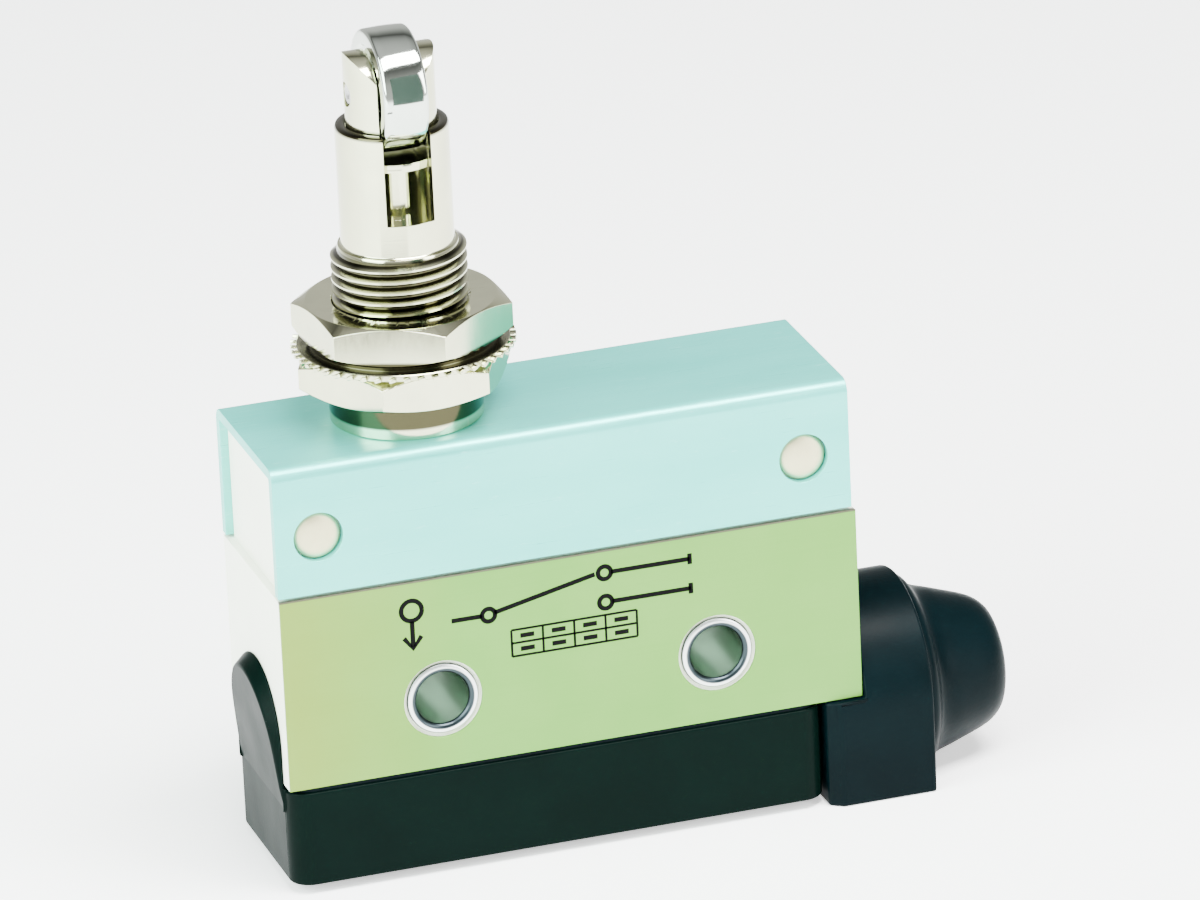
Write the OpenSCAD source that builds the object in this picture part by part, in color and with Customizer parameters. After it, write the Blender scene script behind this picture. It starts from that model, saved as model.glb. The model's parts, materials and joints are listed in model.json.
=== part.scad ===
// Enclosed limit switch with a panel-mount cross-roller plunger head.
// Origin: midway between the two mounting holes, at the middle of the body's width.
// +X runs toward the cable boot, +Z toward the roller, -Y is the nameplate side.

/* [Mounting] */
// Distance between the two mounting holes
hole_pitch = 25.4; // [25:0.1:26]
// Diameter of the hole through each eyelet
hole_d = 4.8; // [4.2:0.1:5]

/* [Body] */
// Width of the body, nameplate face to back face
body_w = 17.5; // [17:0.1:18]
// Left end of the body
body_x0 = -27.15; // [-27.5:0.05:-27]
// Right end of the case
case_x1 = 26.1; // [26:0.05:26.5]
// Underside of the case
case_z0 = -6.5; // [-6.8:0.1:-6.4]
// Thickness of the case walls
case_t = 1.8; // [1.6:0.1:2]

/* [Channel] */
// Right end of the metal channel
channel_x1 = 25.75; // [25.5:0.05:26]
// Lower edge of the channel's two flanges
channel_z0 = 11.8; // [11.6:0.1:12]
// Top face of the channel
channel_z1 = 23.8; // [23.6:0.1:24]
// Sheet thickness of the channel
channel_t = 1.0; // [0.8:0.1:1.1]

/* [Head] */
// Distance of the head's axis from the origin
head_x = -12.1; // [-12.3:0.1:-12]
// Outer diameter of the head's thread, M12 x 1
thread_d = 12; // [11.8:0.1:12]
// Upper end of the thread
thread_z1 = 40; // [39.8:0.1:40.2]
// Rim of the smooth sleeve
sleeve_z1 = 51.1; // [50.8:0.1:51.4]
// Width across the flats of both lock nuts
nut_af = 17; // [16:0.5:17]

/* [Roller] */
// Diameter of the roller
roller_d = 11; // [10.8:0.1:11]
// Width of the roller
roller_w = 4; // [3.8:0.1:4]
// Height of the roller's axis, plunger free
roller_z = 54.05; // [54:0.05:54.2]

/* [Cable end] */
// Diameter of the cable opening in the boot
cable_d = 7.2; // [6.8:0.1:7.2]
// Outer end of the boot
boot_x1 = 41.3; // [41:0.1:42]

/* [Hidden] */
$fn = 64;

// Clearances: fit is for shafts and bores, gap is for parts that lie side by side.
fit = 0.05;
gap = 0.1;
// Open seam under the channel's edge.
seam = 0.3;
// Length by which a cutting shape runs past the face it cuts.
over = 1;

half_w = body_w / 2;
// Nameplate, front plate and cavity, as distances behind the front face.
name_t = 0.3;
plate_front = -half_w + name_t;
plate_back = -half_w + 2.5;
cavity_y = 6.25;
// The upper part of the case, inside the channel.
upper_y = half_w - channel_t - fit;
upper_x0 = body_x0 + 0.75;
upper_x1 = channel_x1 - 0.75;
upper_z1 = channel_z1 - channel_t - gap;
cavity_x0 = body_x0 + 2.55;
cavity_x1 = case_x1 - 2.5;
cavity_z0 = case_z0 + case_t;
cavity_z1 = upper_z1 - case_t;

// Eyelets: tube, flange and the pocket that the flange sits in.
eyelet_r = 2.9;
eyelet_flange_r = 3.3;
eyelet_flange_t = 0.35;
eyelet_pocket_r = 3.6;
eyelet_boss_r = 4.4;

// Rivets that hold the channel: places, shank and head.
pin_x = [body_x0 + 3.95, channel_x1 - 4.3];
pin_z = 17.1;
pin_r = 1.5;
pin_head_r = 2.15;
pin_boss_r = 2.6;

// Head: collar, bore steps, slot, the lower spigot and a shallow relief ring in the thread.
thread_r = thread_d / 2;
collar_r = 6.8;
collar_z1 = 27;
sleeve_r = 5;
spigot_r = 5;
roof_r = 5.6;
clip_r = 6.2;
relief_z = 34.85;
relief_h = 0.6;
relief_d = 0.2;
spigot_z0 = 18.9;
clip_z0 = cavity_z1 - 1.1;
seal_z1 = 21.5;
seal_r = 4.1;
spring_floor_z = 27.5;
spring_bore_r = 4.7;
slot_w = roller_w + 0.3;
slot_z0 = 43;

// Plunger, from its retaining flange up to the top of the fork.
plunger_r = 4;
plunger_z0 = 38.5;
plunger_flange_r = 4.6;
plunger_neck_r = 2.2;
plunger_neck_z0 = 42.6;
fork_z0 = 47.6;
fork_gap_z0 = 48.3;
fork_top_r = 3.75;
roller_pin_r = 1.1;

// Springs and the push rod between plunger and button.
rod_r = 1.9;
rod_z0 = 16.35;
rod_flange_r = 2.6;
rod_flange_z0 = 30.3;
rod_z1 = 31.5;
overtravel_top_z = 41.6;
overtravel_bore_r = 2.9;

// Nuts and washer on the thread.
nut_lower_z = collar_z1 + 0.02;
nut_lower_h = 3.25;
nut_lower_turn = 2;
washer_z = 30.3;
washer_t = 0.95;
washer_r = 9.95;
washer_hub_r = 8.3;
washer_rim_t = 0.6;
nut_upper_z = 31.3;
nut_upper_h = 3.5;
nut_upper_turn = 36;

// Snap mechanism: blade height and ends, button and contacts.
blade_z = 9.9;
blade_t = 0.3;
blade_w = 4.4;
blade_x1 = 8;
pivot_x = -21.5;
pivot_r = 0.3;
contact_x = 6;
contact_r = 1.4;
contact_h = 0.6;
open_contact_z = 7.22;
closed_contact_z = blade_z + blade_t / 2 + contact_h + fit;
fixed_contact_h = 0.7;
button_r = 1.6;
button_tip_r = 0.9;
button_z0 = blade_z + blade_t / 2 + fit;
guide_z0 = 12.4;
guide_z1 = 15.2;

// Terminals: strip thickness, legs, feet and screws.
strip_t = 0.8;
strip_w = 5;
foot_w = 6.8;
foot_z0 = case_z0 - 1.8;
common_leg_x = -23.4;
open_leg_x = 3;
closed_leg_x = 19.8;
terminal_x = [-19, 0, 16.4];
screw_r = 1.5;
screw_head_r = 2.5;

// Terminal cover, its gasket, latch tongue and cable neck.
cover_z0 = -15.7;
cover_x1 = 22.5;
cover_t = 1.5;
cover_corner_r = 2;
gasket_t = 0.4;
cover_z1 = case_z0 - gasket_t;
tongue_z = -3.6;
tongue_r = 6.9;
tongue_t0 = 0.35;
tongue_t1 = 1.35;
cover_screw_x = 9;
neck_z = -11.1;
neck_r = 4.15;
neck_bore_r = 3.6;
neck_x1 = 30;

// Cable boot: D-shaped base with its leading edges cut back, then a shoulder and a cone.
boot_y = 9.5;
boot_z0 = -16.6;
boot_z1 = 1.2;
boot_x0 = cover_x1 + gap;
boot_base_x1 = 32.6;
boot_lead = 1.2;
boot_z = -8.6;

// A rectangle centred on the origin with round corners.
module rounded_rect(w, h, r) {
  square([w - 2 * r, h], center = true);
  square([w, h - 2 * r], center = true);
  for (x = [-1, 1], y = [-1, 1]) translate([x * (w / 2 - r), y * (h / 2 - r)]) circle(r);
}

// A cylinder along Y from y0 to y1.
module y_cylinder(x, z, r, y0, y1) {
  translate([x, y1, z]) rotate([90, 0, 0]) cylinder(r = r, h = y1 - y0);
}

// A cylinder along X from x0 to x1.
module x_cylinder(y, z, r, x0, x1) {
  translate([x0, y, z]) rotate([0, 90, 0]) cylinder(r = r, h = x1 - x0);
}

// A box given by its two corners.
module span(a, b) {
  translate(a) cube([for (i = [0:2]) b[i] - a[i]]);
}

// A flat shape in X and Z, given thickness along Y.
module along_y(y0, y1) {
  translate([0, y1, 0]) rotate([90, 0, 0]) linear_extrude(y1 - y0) children();
}

// A flat shape in Y and Z, given thickness along X.
module along_x(x0, x1) {
  translate([x0, 0, 0]) rotate([90, 0, 90]) linear_extrude(x1 - x0) children();
}

// A hexagonal nut with chamfered corners on the head's axis.
module lock_nut(z, h, turn) {
  corner_r = nut_af / 2 / cos(30);
  flat_r = nut_af / 2 + 0.15;
  drop = 0.65;
  wide_r = corner_r + 0.1;
  translate([head_x, 0, z]) difference() {
    intersection() {
      rotate([0, 0, turn]) cylinder(r = corner_r, h = h, $fn = 6);
      rotate_extrude() polygon([
        [0, 0], [flat_r, 0], [wide_r, drop], [wide_r, h - drop], [flat_r, h], [0, h]
      ]);
    }
    translate([0, 0, -over]) cylinder(r = thread_r + fit / 2, h = h + 2 * over);
  }
}

// Points of one ring of a coil's wire: turn angle a, height z, coil radius r, wire radius w.
function ring(a, z, r, w, sides) = [
  for (i = [0:sides - 1]) let (b = 360 * i / sides)
    [(r + w * cos(b)) * cos(a), (r + w * cos(b)) * sin(a), z + w * sin(b)]
];

// A coil spring of wire radius w between z0 and z1, its end turns closed up.
module coil(z0, z1, r, w, turns) {
  sides = 8;
  steps = 14;
  n = turns * steps;
  rise = z1 - z0 - 2 * w;
  function height(t) = t < 1 ? t * 2 * w
    : t > turns - 1 ? rise - (turns - t) * 2 * w
    : 2 * w + (t - 1) / (turns - 2) * (rise - 4 * w);
  points = [
    for (k = [0:n]) each ring(360 * k / steps, z0 + w + height(k / steps), r, w, sides)
  ];
  sides_faces = [
    for (k = [0:n - 1], i = [0:sides - 1]) let (j = (i + 1) % sides)
      [k * sides + i, (k + 1) * sides + i, (k + 1) * sides + j, k * sides + j]
  ];
  start = [for (i = [0:sides - 1]) i];
  finish = [for (i = [sides - 1:-1:0]) n * sides + i];
  translate([head_x, 0, 0]) polyhedron(points, concat([start], sides_faces, [finish]));
}

// A terminal strip's foot with its screw hole, between two x positions.
module terminal_foot(x0, x1, screw_x) {
  difference() {
    span([x0, -foot_w / 2, foot_z0], [x1, foot_w / 2, foot_z0 + strip_t]);
    translate([screw_x, 0, foot_z0 - over]) cylinder(r = screw_r + gap, h = strip_t + 2 * over);
  }
}

// A vertical strip that starts in a foot and ends at height z1.
module terminal_leg(x, z1) {
  span([x, -strip_w / 2, foot_z0], [x + strip_t, strip_w / 2, z1]);
}

// Case: a shell open at the front, with bosses, a button guide and terminal seats.
module case() {
  color("ivory") difference() {
    union() {
      difference() {
        union() {
          span([body_x0 + fit, plate_back, case_z0], [case_x1, half_w, channel_z0 - seam]);
          span([upper_x0, plate_back, case_z0 + case_t], [upper_x1, upper_y, upper_z1]);
        }
        span([cavity_x0, plate_back - over, cavity_z0], [cavity_x1, cavity_y, cavity_z1]);
      }
      for (s = [-1, 1]) y_cylinder(s * hole_pitch / 2, 0, eyelet_boss_r, plate_back, half_w - 0.5);
      for (x = pin_x) y_cylinder(x, pin_z, pin_boss_r, plate_back, upper_y - 0.5);
      span([head_x - 4.2, -cavity_y + gap, guide_z0], [head_x + 4.2, cavity_y + 0.5, guide_z1]);
      for (x = terminal_x) {
        span([x - 2.6, -foot_w / 2, foot_z0 + strip_t], [x + 2.6, foot_w / 2, case_z0 + 0.5]);
      }
      translate([cover_screw_x, 0, cover_z1 - 0.6]) cylinder(r = 2.4, h = 2);
    }
    translate([head_x, 0, cavity_z1 - over]) cylinder(r = roof_r + fit, h = case_t + 2 * over);
    translate([head_x, 0, guide_z0 - over]) cylinder(r = button_r + fit, h = 4 * over + 1);
    for (s = [-1, 1]) {
      y_cylinder(s * hole_pitch / 2, 0, eyelet_r + fit, -half_w, half_w + over);
      y_cylinder(s * hole_pitch / 2, 0, eyelet_pocket_r, half_w - 0.45, half_w + over);
    }
    for (x = pin_x) y_cylinder(x, pin_z, pin_r + fit, -half_w, half_w + over);
    for (x = [common_leg_x, open_leg_x, closed_leg_x]) {
      span([x - gap, -strip_w / 2 - gap, case_z0 - 2.5],
           [x + strip_t + gap, strip_w / 2 + gap, cavity_z0 + over]);
    }
    for (x = terminal_x) translate([x, 0, foot_z0]) cylinder(r = screw_r + fit, h = 4);
    translate([cover_screw_x, 0, cover_z1 - over]) cylinder(r = 1.25, h = 4);
  }
}

// Front plate: closes the case behind the nameplate.
module case_plate() {
  color("ivory") difference() {
    union() {
      span([body_x0 + fit, plate_front, case_z0], [case_x1, plate_back, channel_z0 - seam]);
      span([upper_x0, -upper_y, case_z0 + case_t], [upper_x1, plate_back, upper_z1]);
    }
    for (s = [-1, 1]) {
      y_cylinder(s * hole_pitch / 2, 0, eyelet_r + fit, -half_w - over, 0);
      y_cylinder(s * hole_pitch / 2, 0, eyelet_pocket_r, -half_w - over, -half_w + 0.45);
    }
    for (x = pin_x) y_cylinder(x, pin_z, pin_r + fit, -half_w, 0);
  }
}

// Nameplate: a thin sheet on the front plate, cut out around both eyelets.
module nameplate() {
  color("tan") difference() {
    span([body_x0 + fit, -half_w, case_z0 + fit], [case_x1, plate_front, channel_z0 - seam]);
    for (s = [-1, 1]) y_cylinder(s * hole_pitch / 2, 0, eyelet_pocket_r, -half_w - over, 0);
  }
}

// Outline of the channel's cross-section, an inverted U with round bends.
module channel_outline(side, top, r, foot) {
  translate([-side, foot]) square([2 * side, top - r - foot]);
  translate([-side + r, foot]) square([2 * (side - r), top - foot]);
  for (s = [-1, 1]) translate([s * (side - r), top - r]) circle(r);
}

// Channel: bent sheet over the upper part of the case.
module top_channel() {
  bend_r = 1.2;
  color("lightsteelblue") difference() {
    along_x(body_x0, channel_x1) difference() {
      channel_outline(half_w, channel_z1, bend_r, channel_z0);
      channel_outline(half_w - channel_t, channel_z1 - channel_t, bend_r - channel_t, channel_z0 - over);
    }
    translate([head_x, 0, channel_z0]) cylinder(r = roof_r + fit, h = 2 * channel_z1);
    for (x = pin_x) y_cylinder(x, pin_z, pin_head_r + gap, -half_w - over, half_w + over);
  }
}

// Rivets through case and channel, with a low button head at each end.
module channel_pins() {
  head_y = half_w - channel_t;
  color("wheat") for (x = pin_x) {
    y_cylinder(x, pin_z, pin_r, -head_y - 0.2, head_y + 0.2);
    for (s = [-1, 1]) translate([x, s * head_y, pin_z]) rotate([-90 * s, 0, 0]) {
      cylinder(r = pin_head_r, h = 0.55);
      translate([0, 0, 0.55]) cylinder(r1 = pin_head_r, r2 = pin_head_r - 0.5, h = 0.25);
    }
  }
}

// Eyelets: a tube through the body with a flange at each face.
module mounting_eyelets() {
  out_y = half_w - 0.08;
  color("silver") for (s = [-1, 1]) difference() {
    union() {
      y_cylinder(s * hole_pitch / 2, 0, eyelet_r, -out_y, out_y);
      y_cylinder(s * hole_pitch / 2, 0, eyelet_flange_r, -out_y, -out_y + eyelet_flange_t);
      y_cylinder(s * hole_pitch / 2, 0, eyelet_flange_r, out_y - eyelet_flange_t, out_y);
    }
    y_cylinder(s * hole_pitch / 2, 0, hole_d / 2, -half_w - over, half_w + over);
  }
}

// Guide bush: spigot, collar, threaded length and slotted sleeve on one axis.
module guide_bush() {
  rim = 0.4;
  color("gainsboro") translate([head_x, 0, 0]) difference() {
    rotate_extrude() polygon([
      [rod_r + fit, seal_z1], [seal_r + fit, seal_z1], [seal_r + fit, spigot_z0], [spigot_r, spigot_z0],
      [spigot_r, cavity_z1 - gap], [roof_r, cavity_z1 - gap],
      [roof_r, channel_z1], [collar_r, channel_z1], [collar_r, collar_z1 - rim / 2],
      [collar_r - rim / 2, collar_z1], [thread_r, collar_z1], [thread_r, relief_z],
      [thread_r - relief_d, relief_z], [thread_r - relief_d, relief_z + relief_h],
      [thread_r, relief_z + relief_h], [thread_r, thread_z1 - rim],
      [thread_r - rim, thread_z1], [sleeve_r, thread_z1], [sleeve_r, sleeve_z1 - rim],
      [sleeve_r - rim, sleeve_z1], [plunger_r + fit, sleeve_z1], [plunger_r + fit, thread_z1 + fit],
      [spring_bore_r, thread_z1 + fit], [spring_bore_r, spring_floor_z], [rod_r + fit, spring_floor_z]
    ]);
    span([-slot_w / 2, -collar_r, slot_z0], [slot_w / 2, collar_r, sleeve_z1 + over]);
  }
}

// Clip that holds the bush's spigot under the roof of the case.
module bush_clip() {
  color("dimgray") translate([head_x, 0, clip_z0]) difference() {
    cylinder(r = clip_r, h = 0.9);
    translate([0, 0, -over]) cylinder(r = spigot_r + fit, h = 3 * over);
    span([-1.2, 0, -over], [1.2, 7, 2 * over]);
  }
}

// Rod seal: a rubber ring with a lip around the push rod, in the bush's mouth.
module rod_seal() {
  color("black") translate([head_x, 0, 0]) rotate_extrude() polygon([
    [rod_r + 0.3, seal_z1 - 0.8], [seal_r, seal_z1 - 0.1], [seal_r, spigot_z0 + 0.2],
    [seal_r - 0.7, spigot_z0 + 0.2], [seal_r - 0.7, seal_z1 - 1], [rod_r + 0.3, seal_z1 - 1.6]
  ]);
}

// Lower nut, tight on the collar.
module lock_nut_lower() {
  color("gainsboro") lock_nut(nut_lower_z, nut_lower_h, nut_lower_turn);
}

// Lock washer: a raised hub under the nut and a thinner rim with shallow teeth.
module lock_washer() {
  teeth = 48;
  color("silver") translate([head_x, 0, washer_z]) difference() {
    union() {
      cylinder(r = washer_hub_r, h = washer_t);
      cylinder(r = washer_r, h = washer_rim_t);
    }
    translate([0, 0, -over]) cylinder(r = thread_r + gap, h = washer_t + 2 * over);
    for (k = [0:teeth - 1]) rotate([0, 0, 360 * k / teeth]) translate([washer_r + 0.3, 0, 0])
      rotate([0, 0, 45]) cube([0.7, 0.7, 4 * over], center = true);
  }
}

// Upper nut: clamps a panel against the lower nut.
module lock_nut_upper() {
  color("gainsboro") lock_nut(nut_upper_z, nut_upper_h, nut_upper_turn);
}

// Plunger: retaining flange, guide, neck and the fork that carries the roller.
module plunger() {
  color("silver") translate([head_x, 0, 0]) difference() {
    union() {
      rotate_extrude() polygon([
        [overtravel_bore_r, plunger_z0], [plunger_flange_r, plunger_z0], [plunger_flange_r, thread_z1],
        [plunger_r, thread_z1], [plunger_r, plunger_neck_z0], [plunger_neck_r, plunger_neck_z0],
        [plunger_neck_r, fork_z0 + 0.1], [0, fork_z0 + 0.1], [0, overtravel_top_z],
        [overtravel_bore_r, overtravel_top_z]
      ]);
      intersection() {
        translate([0, 0, fork_z0]) cylinder(r = plunger_r, h = 12);
        union() {
          span([-6, -6, fork_z0], [6, 6, roller_z]);
          x_cylinder(0, roller_z, fork_top_r, -6, 6);
        }
      }
    }
    span([-roller_w / 2 - gap, -6, fork_gap_z0], [roller_w / 2 + gap, 6, roller_z + 6]);
    x_cylinder(0, roller_z, roller_pin_r, -6, 6);
  }
}

// Roller: a rim with slightly rounded edges and a recessed web.
module roller() {
  r = roller_d / 2;
  edge = 0.35;
  bore = roller_pin_r + fit;
  w = roller_w / 2;
  color("gainsboro") translate([head_x, 0, roller_z]) rotate([0, 90, 0]) rotate_extrude() polygon([
    [bore, -w], [r - 1.6, -w], [r - 1.4, -w + 0.3], [r - 1.0, -w + 0.3], [r - 0.8, -w], [r - edge, -w],
    [r, -w + edge], [r, w - edge], [r - edge, w], [r - 0.8, w], [r - 1.0, w - 0.3], [r - 1.4, w - 0.3],
    [r - 1.6, w], [bore, w]
  ]);
}

// Roller pin: riveted flush in both ears of the fork.
module roller_pin() {
  color("dimgray") translate([head_x, 0, 0]) x_cylinder(0, roller_z, roller_pin_r, -3.8, 3.8);
}

// Return spring: between the bush's floor and the plunger's flange.
module return_spring() {
  color("darkgray") coil(spring_floor_z + fit, plunger_z0 - fit, 4.1, 0.35, 7);
}

// Overtravel spring: between the push rod and the plunger.
module overtravel_spring() {
  color("darkgray") coil(rod_z1 + fit, overtravel_top_z - fit, 2.3, 0.3, 8);
}

// Push rod: carries the stroke down to the switch button.
module push_rod() {
  color("silver") translate([head_x, 0, 0]) rotate_extrude() polygon([
    [0, rod_z0], [rod_r - 0.3, rod_z0], [rod_r, rod_z0 + 0.3], [rod_r, rod_flange_z0],
    [rod_flange_r, rod_flange_z0], [rod_flange_r, rod_z1], [0, rod_z1]
  ]);
}

// Switch button: a moulded pin with a stop flange and a round tip.
module switch_button() {
  tip_z = button_z0 + button_tip_r;
  color("firebrick") translate([head_x, 0, 0]) {
    translate([0, 0, tip_z]) sphere(button_tip_r);
    translate([0, 0, tip_z]) cylinder(r = button_tip_r, h = 0.8);
    translate([0, 0, guide_z0 - 0.9]) cylinder(r = 2.3, h = 0.85);
    translate([0, 0, guide_z0 - 0.5]) cylinder(r = button_r, h = rod_z0 - guide_z0 + 0.45);
  }
}

// Snap blade: the spring strip that carries the moving contact, with a rolled end to turn on.
module snap_blade() {
  color("goldenrod") difference() {
    union() {
      span([pivot_x, -blade_w / 2, blade_z - blade_t / 2], [blade_x1, blade_w / 2, blade_z + blade_t / 2]);
      y_cylinder(pivot_x, blade_z, pivot_r, -blade_w / 2, blade_w / 2);
    }
    translate([contact_x, 0, blade_z - over]) cylinder(r = 0.75, h = 2 * over);
    for (s = [-1, 1]) translate([-3, s * 1.15, blade_z]) cube([8, 0.7, 2 * over], center = true);
  }
}

// Moving contact: a silver rivet through the blade's end.
module moving_contact() {
  color("whitesmoke") translate([contact_x, 0, blade_z]) {
    cylinder(r = 0.7, h = 2 * contact_h, center = true);
    for (s = [0, 1]) mirror([0, 0, s]) translate([0, 0, blade_t / 2]) cylinder(r = contact_r, h = contact_h);
  }
}

// Fixed contacts: one below the moving contact, one above it.
module fixed_contacts() {
  color("whitesmoke") translate([contact_x, 0, 0]) {
    translate([0, 0, open_contact_z - fixed_contact_h]) cylinder(r = contact_r + 0.2, h = fixed_contact_h);
    translate([0, 0, closed_contact_z]) cylinder(r = contact_r + 0.2, h = fixed_contact_h);
  }
}

// Common terminal: a foot, a leg and the rest that the blade hinges on.
module common_terminal() {
  rest_z = blade_z - pivot_r - fit;
  color("goldenrod") {
    terminal_foot(common_leg_x, terminal_x[0] + 3, terminal_x[0]);
    terminal_leg(common_leg_x, blade_z + 1.5);
    span([common_leg_x, -strip_w / 2, rest_z - strip_t], [common_leg_x + 3.4, strip_w / 2, rest_z]);
  }
}

// Normally open terminal: its arm holds the lower contact.
module open_terminal() {
  arm_z = open_contact_z - fixed_contact_h;
  color("goldenrod") {
    terminal_foot(terminal_x[1] - 3, open_leg_x + strip_t, terminal_x[1]);
    terminal_leg(open_leg_x, arm_z);
    span([open_leg_x, -strip_w / 2, arm_z - strip_t], [contact_x + 2, strip_w / 2, arm_z]);
  }
}

// Normally closed terminal: its arm holds the upper contact.
module closed_terminal() {
  arm_z = closed_contact_z + fixed_contact_h;
  color("goldenrod") {
    terminal_foot(terminal_x[2] - 3, closed_leg_x + strip_t, terminal_x[2]);
    terminal_leg(closed_leg_x, arm_z + strip_t);
    span([contact_x - 2, -strip_w / 2, arm_z], [closed_leg_x + strip_t, strip_w / 2, arm_z + strip_t]);
  }
}

// Terminal screws: cross-slotted heads, from below.
module terminal_screws() {
  head_z = foot_z0 - 2.4;
  color("silver") for (x = terminal_x) translate([x, 0, head_z]) difference() {
    union() {
      cylinder(r = screw_head_r, h = 1.7);
      cylinder(r = screw_r, h = 4.8);
    }
    for (a = [0, 90]) rotate([0, 0, a]) cube([3.4, 0.7, 1.6], center = true);
  }
}

// Screw washers: square-edged clamping washers under the heads.
module screw_washers() {
  color("silver") for (x = terminal_x) translate([x, 0, foot_z0 - 0.65]) difference() {
    cylinder(r = 3, h = 0.6);
    translate([0, 0, -over]) cylinder(r = screw_r + gap, h = 3 * over);
  }
}

// Latch tongue of the cover: an arched plate with a bevelled edge that grows thicker toward its top.
module latch_tongue() {
  root_z = case_z0 - 2.5;
  top_z = tongue_z + tongue_r;
  bevel = 0.85;
  depth = 2;
  out_r = tongue_r - bevel * depth;
  inner_x = body_x0 + cover_t / 2;
  intersection() {
    along_y(-half_w, half_w) polygon([
      [inner_x, root_z], [inner_x, cover_z1 - gap], [body_x0, cover_z1], [body_x0, top_z],
      [body_x0 - tongue_t1 + 0.3, top_z], [body_x0 - tongue_t1, top_z - 0.9],
      [body_x0 - tongue_t0, cover_z1], [body_x0, root_z]
    ]);
    union() {
      translate([body_x0, 0, tongue_z]) rotate([0, -90, 0]) cylinder(r1 = tongue_r, r2 = out_r, h = depth);
      translate([0, 0, root_z]) linear_extrude(tongue_z - root_z) polygon([
        [inner_x, -tongue_r + 0.2], [body_x0, -tongue_r], [body_x0 - depth, -out_r],
        [body_x0 - depth, out_r], [body_x0, tongue_r], [inner_x, tongue_r - 0.2]
      ]);
    }
  }
}

// Terminal cover: a tray with a latch tongue, a screw boss and a cable neck.
module terminal_cover() {
  len = cover_x1 - body_x0;
  mid = (cover_x1 + body_x0) / 2;
  color("darkslategray") difference() {
    union() {
      difference() {
        translate([mid, 0, cover_z0]) linear_extrude(cover_z1 - cover_z0)
          rounded_rect(len, body_w, cover_corner_r);
        translate([mid, 0, cover_z0 + cover_t]) linear_extrude(cover_z1 - cover_z0)
          rounded_rect(len - 2 * cover_t, body_w - 2 * cover_t, 0.8);
      }
      translate([cover_screw_x, 0, cover_z0]) cylinder(r = 3, h = cover_z1 - cover_z0 - 0.7);
      x_cylinder(0, neck_z, neck_r, cover_x1 - cover_t, neck_x1);
      latch_tongue();
    }
    x_cylinder(0, neck_z, neck_bore_r, cover_x1 - cover_t - over, neck_x1 + over);
    translate([cover_screw_x, 0, cover_z0 - over]) cylinder(r = 1.3, h = 20);
    translate([cover_screw_x, 0, cover_z0 - over]) cylinder(r = 2.4, h = 1.4 + over);
  }
}

// Cover gasket: a flat frame between case and cover.
module cover_gasket() {
  len = cover_x1 - body_x0;
  color("black") translate([(cover_x1 + body_x0) / 2, 0, cover_z1]) linear_extrude(gasket_t) difference() {
    rounded_rect(len - 0.5, body_w - 0.5, cover_corner_r);
    rounded_rect(len - 2 * cover_t, body_w - 2 * cover_t, 0.8);
  }
}

// Cover screw: through the cover's boss into the case.
module cover_screw() {
  color("silver") translate([cover_screw_x, 0, cover_z0]) difference() {
    union() {
      cylinder(r = 2.2, h = 1.35);
      cylinder(r = 1.2, h = case_z0 - cover_z0 + 1.2);
    }
    for (a = [0, 90]) rotate([0, 0, a]) cube([3, 0.6, 1.4], center = true);
  }
}

// Outline of the boot in Y and Z: a block with a flat bottom and a round top.
module boot_outline() {
  dome_z = boot_z1 - boot_y;
  translate([-boot_y, boot_z0]) square([2 * boot_y, dome_z - boot_z0]);
  intersection() {
    translate([0, dome_z]) circle(boot_y);
    translate([-boot_y, boot_z0]) square([2 * boot_y, boot_z1 - boot_z0]);
  }
}

// Cable boot: a rubber block over the cover's neck that tapers to the cable opening.
module cable_boot() {
  throat_x = neck_x1 + 1.2;
  bore_x = throat_x - 1;
  lead_y = boot_y - 0.8;
  color("darkslategray") difference() {
    union() {
      intersection() {
        along_x(boot_x0, boot_base_x1) boot_outline();
        translate([0, 0, boot_z0 - over]) linear_extrude(boot_z1 - boot_z0 + 2 * over) polygon([
          [boot_x0, -lead_y], [boot_x0 + boot_lead, -boot_y], [boot_base_x1, -boot_y],
          [boot_base_x1, boot_y], [boot_x0 + boot_lead, boot_y], [boot_x0, lead_y]
        ]);
      }
      intersection() {
        along_x(boot_base_x1 - 1, boot_x1) boot_outline();
        translate([0, 0, boot_z]) rotate([0, 90, 0]) rotate_extrude() polygon([
          [0, boot_base_x1 - 1], [9.2, boot_base_x1 - 1], [9.2, boot_base_x1 + 0.1],
          [7.95, boot_base_x1 + 1.4], [7.3, boot_base_x1 + 3], [6.7, boot_x1 - 3.8],
          [6.1, boot_x1 - 2.1], [5.6, boot_x1 - 1.1], [4.9, boot_x1 - 0.4], [4.3, boot_x1], [0, boot_x1]
        ]);
      }
    }
    span([boot_x0 - over, -boot_y - over, case_z0 - gap], [case_x1 + gap, boot_y + over, boot_z1 + over]);
    x_cylinder(0, neck_z, neck_r + fit, boot_x0 - over, throat_x);
    x_cylinder(0, boot_z, cable_d / 2, bore_x, boot_x1 + over);
  }
}

case();
case_plate();
nameplate();
top_channel();
channel_pins();
mounting_eyelets();
guide_bush();
bush_clip();
rod_seal();
lock_nut_lower();
lock_washer();
lock_nut_upper();
plunger();
roller();
roller_pin();
return_spring();
overtravel_spring();
push_rod();
switch_button();
snap_blade();
moving_contact();
fixed_contacts();
common_terminal();
open_terminal();
closed_terminal();
terminal_screws();
screw_washers();
terminal_cover();
cover_gasket();
cover_screw();
cable_boot();
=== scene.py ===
# %% [markdown]
# # An enclosed limit switch with a roller plunger head
# A limit switch tells a machine that something has arrived: a cam rolls over the roller, the plunger goes
# down, and a snap switch inside changes over. This lesson dresses a finished CAD model of one. Every piece
# keeps the place and size that the CAD model gives it; what is added here is edge rounding, a real thread,
# printed marks and the finishes of plated metal, brushed sheet, moulded plastic and rubber.

# %% Load the frame
import json
import math

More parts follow.
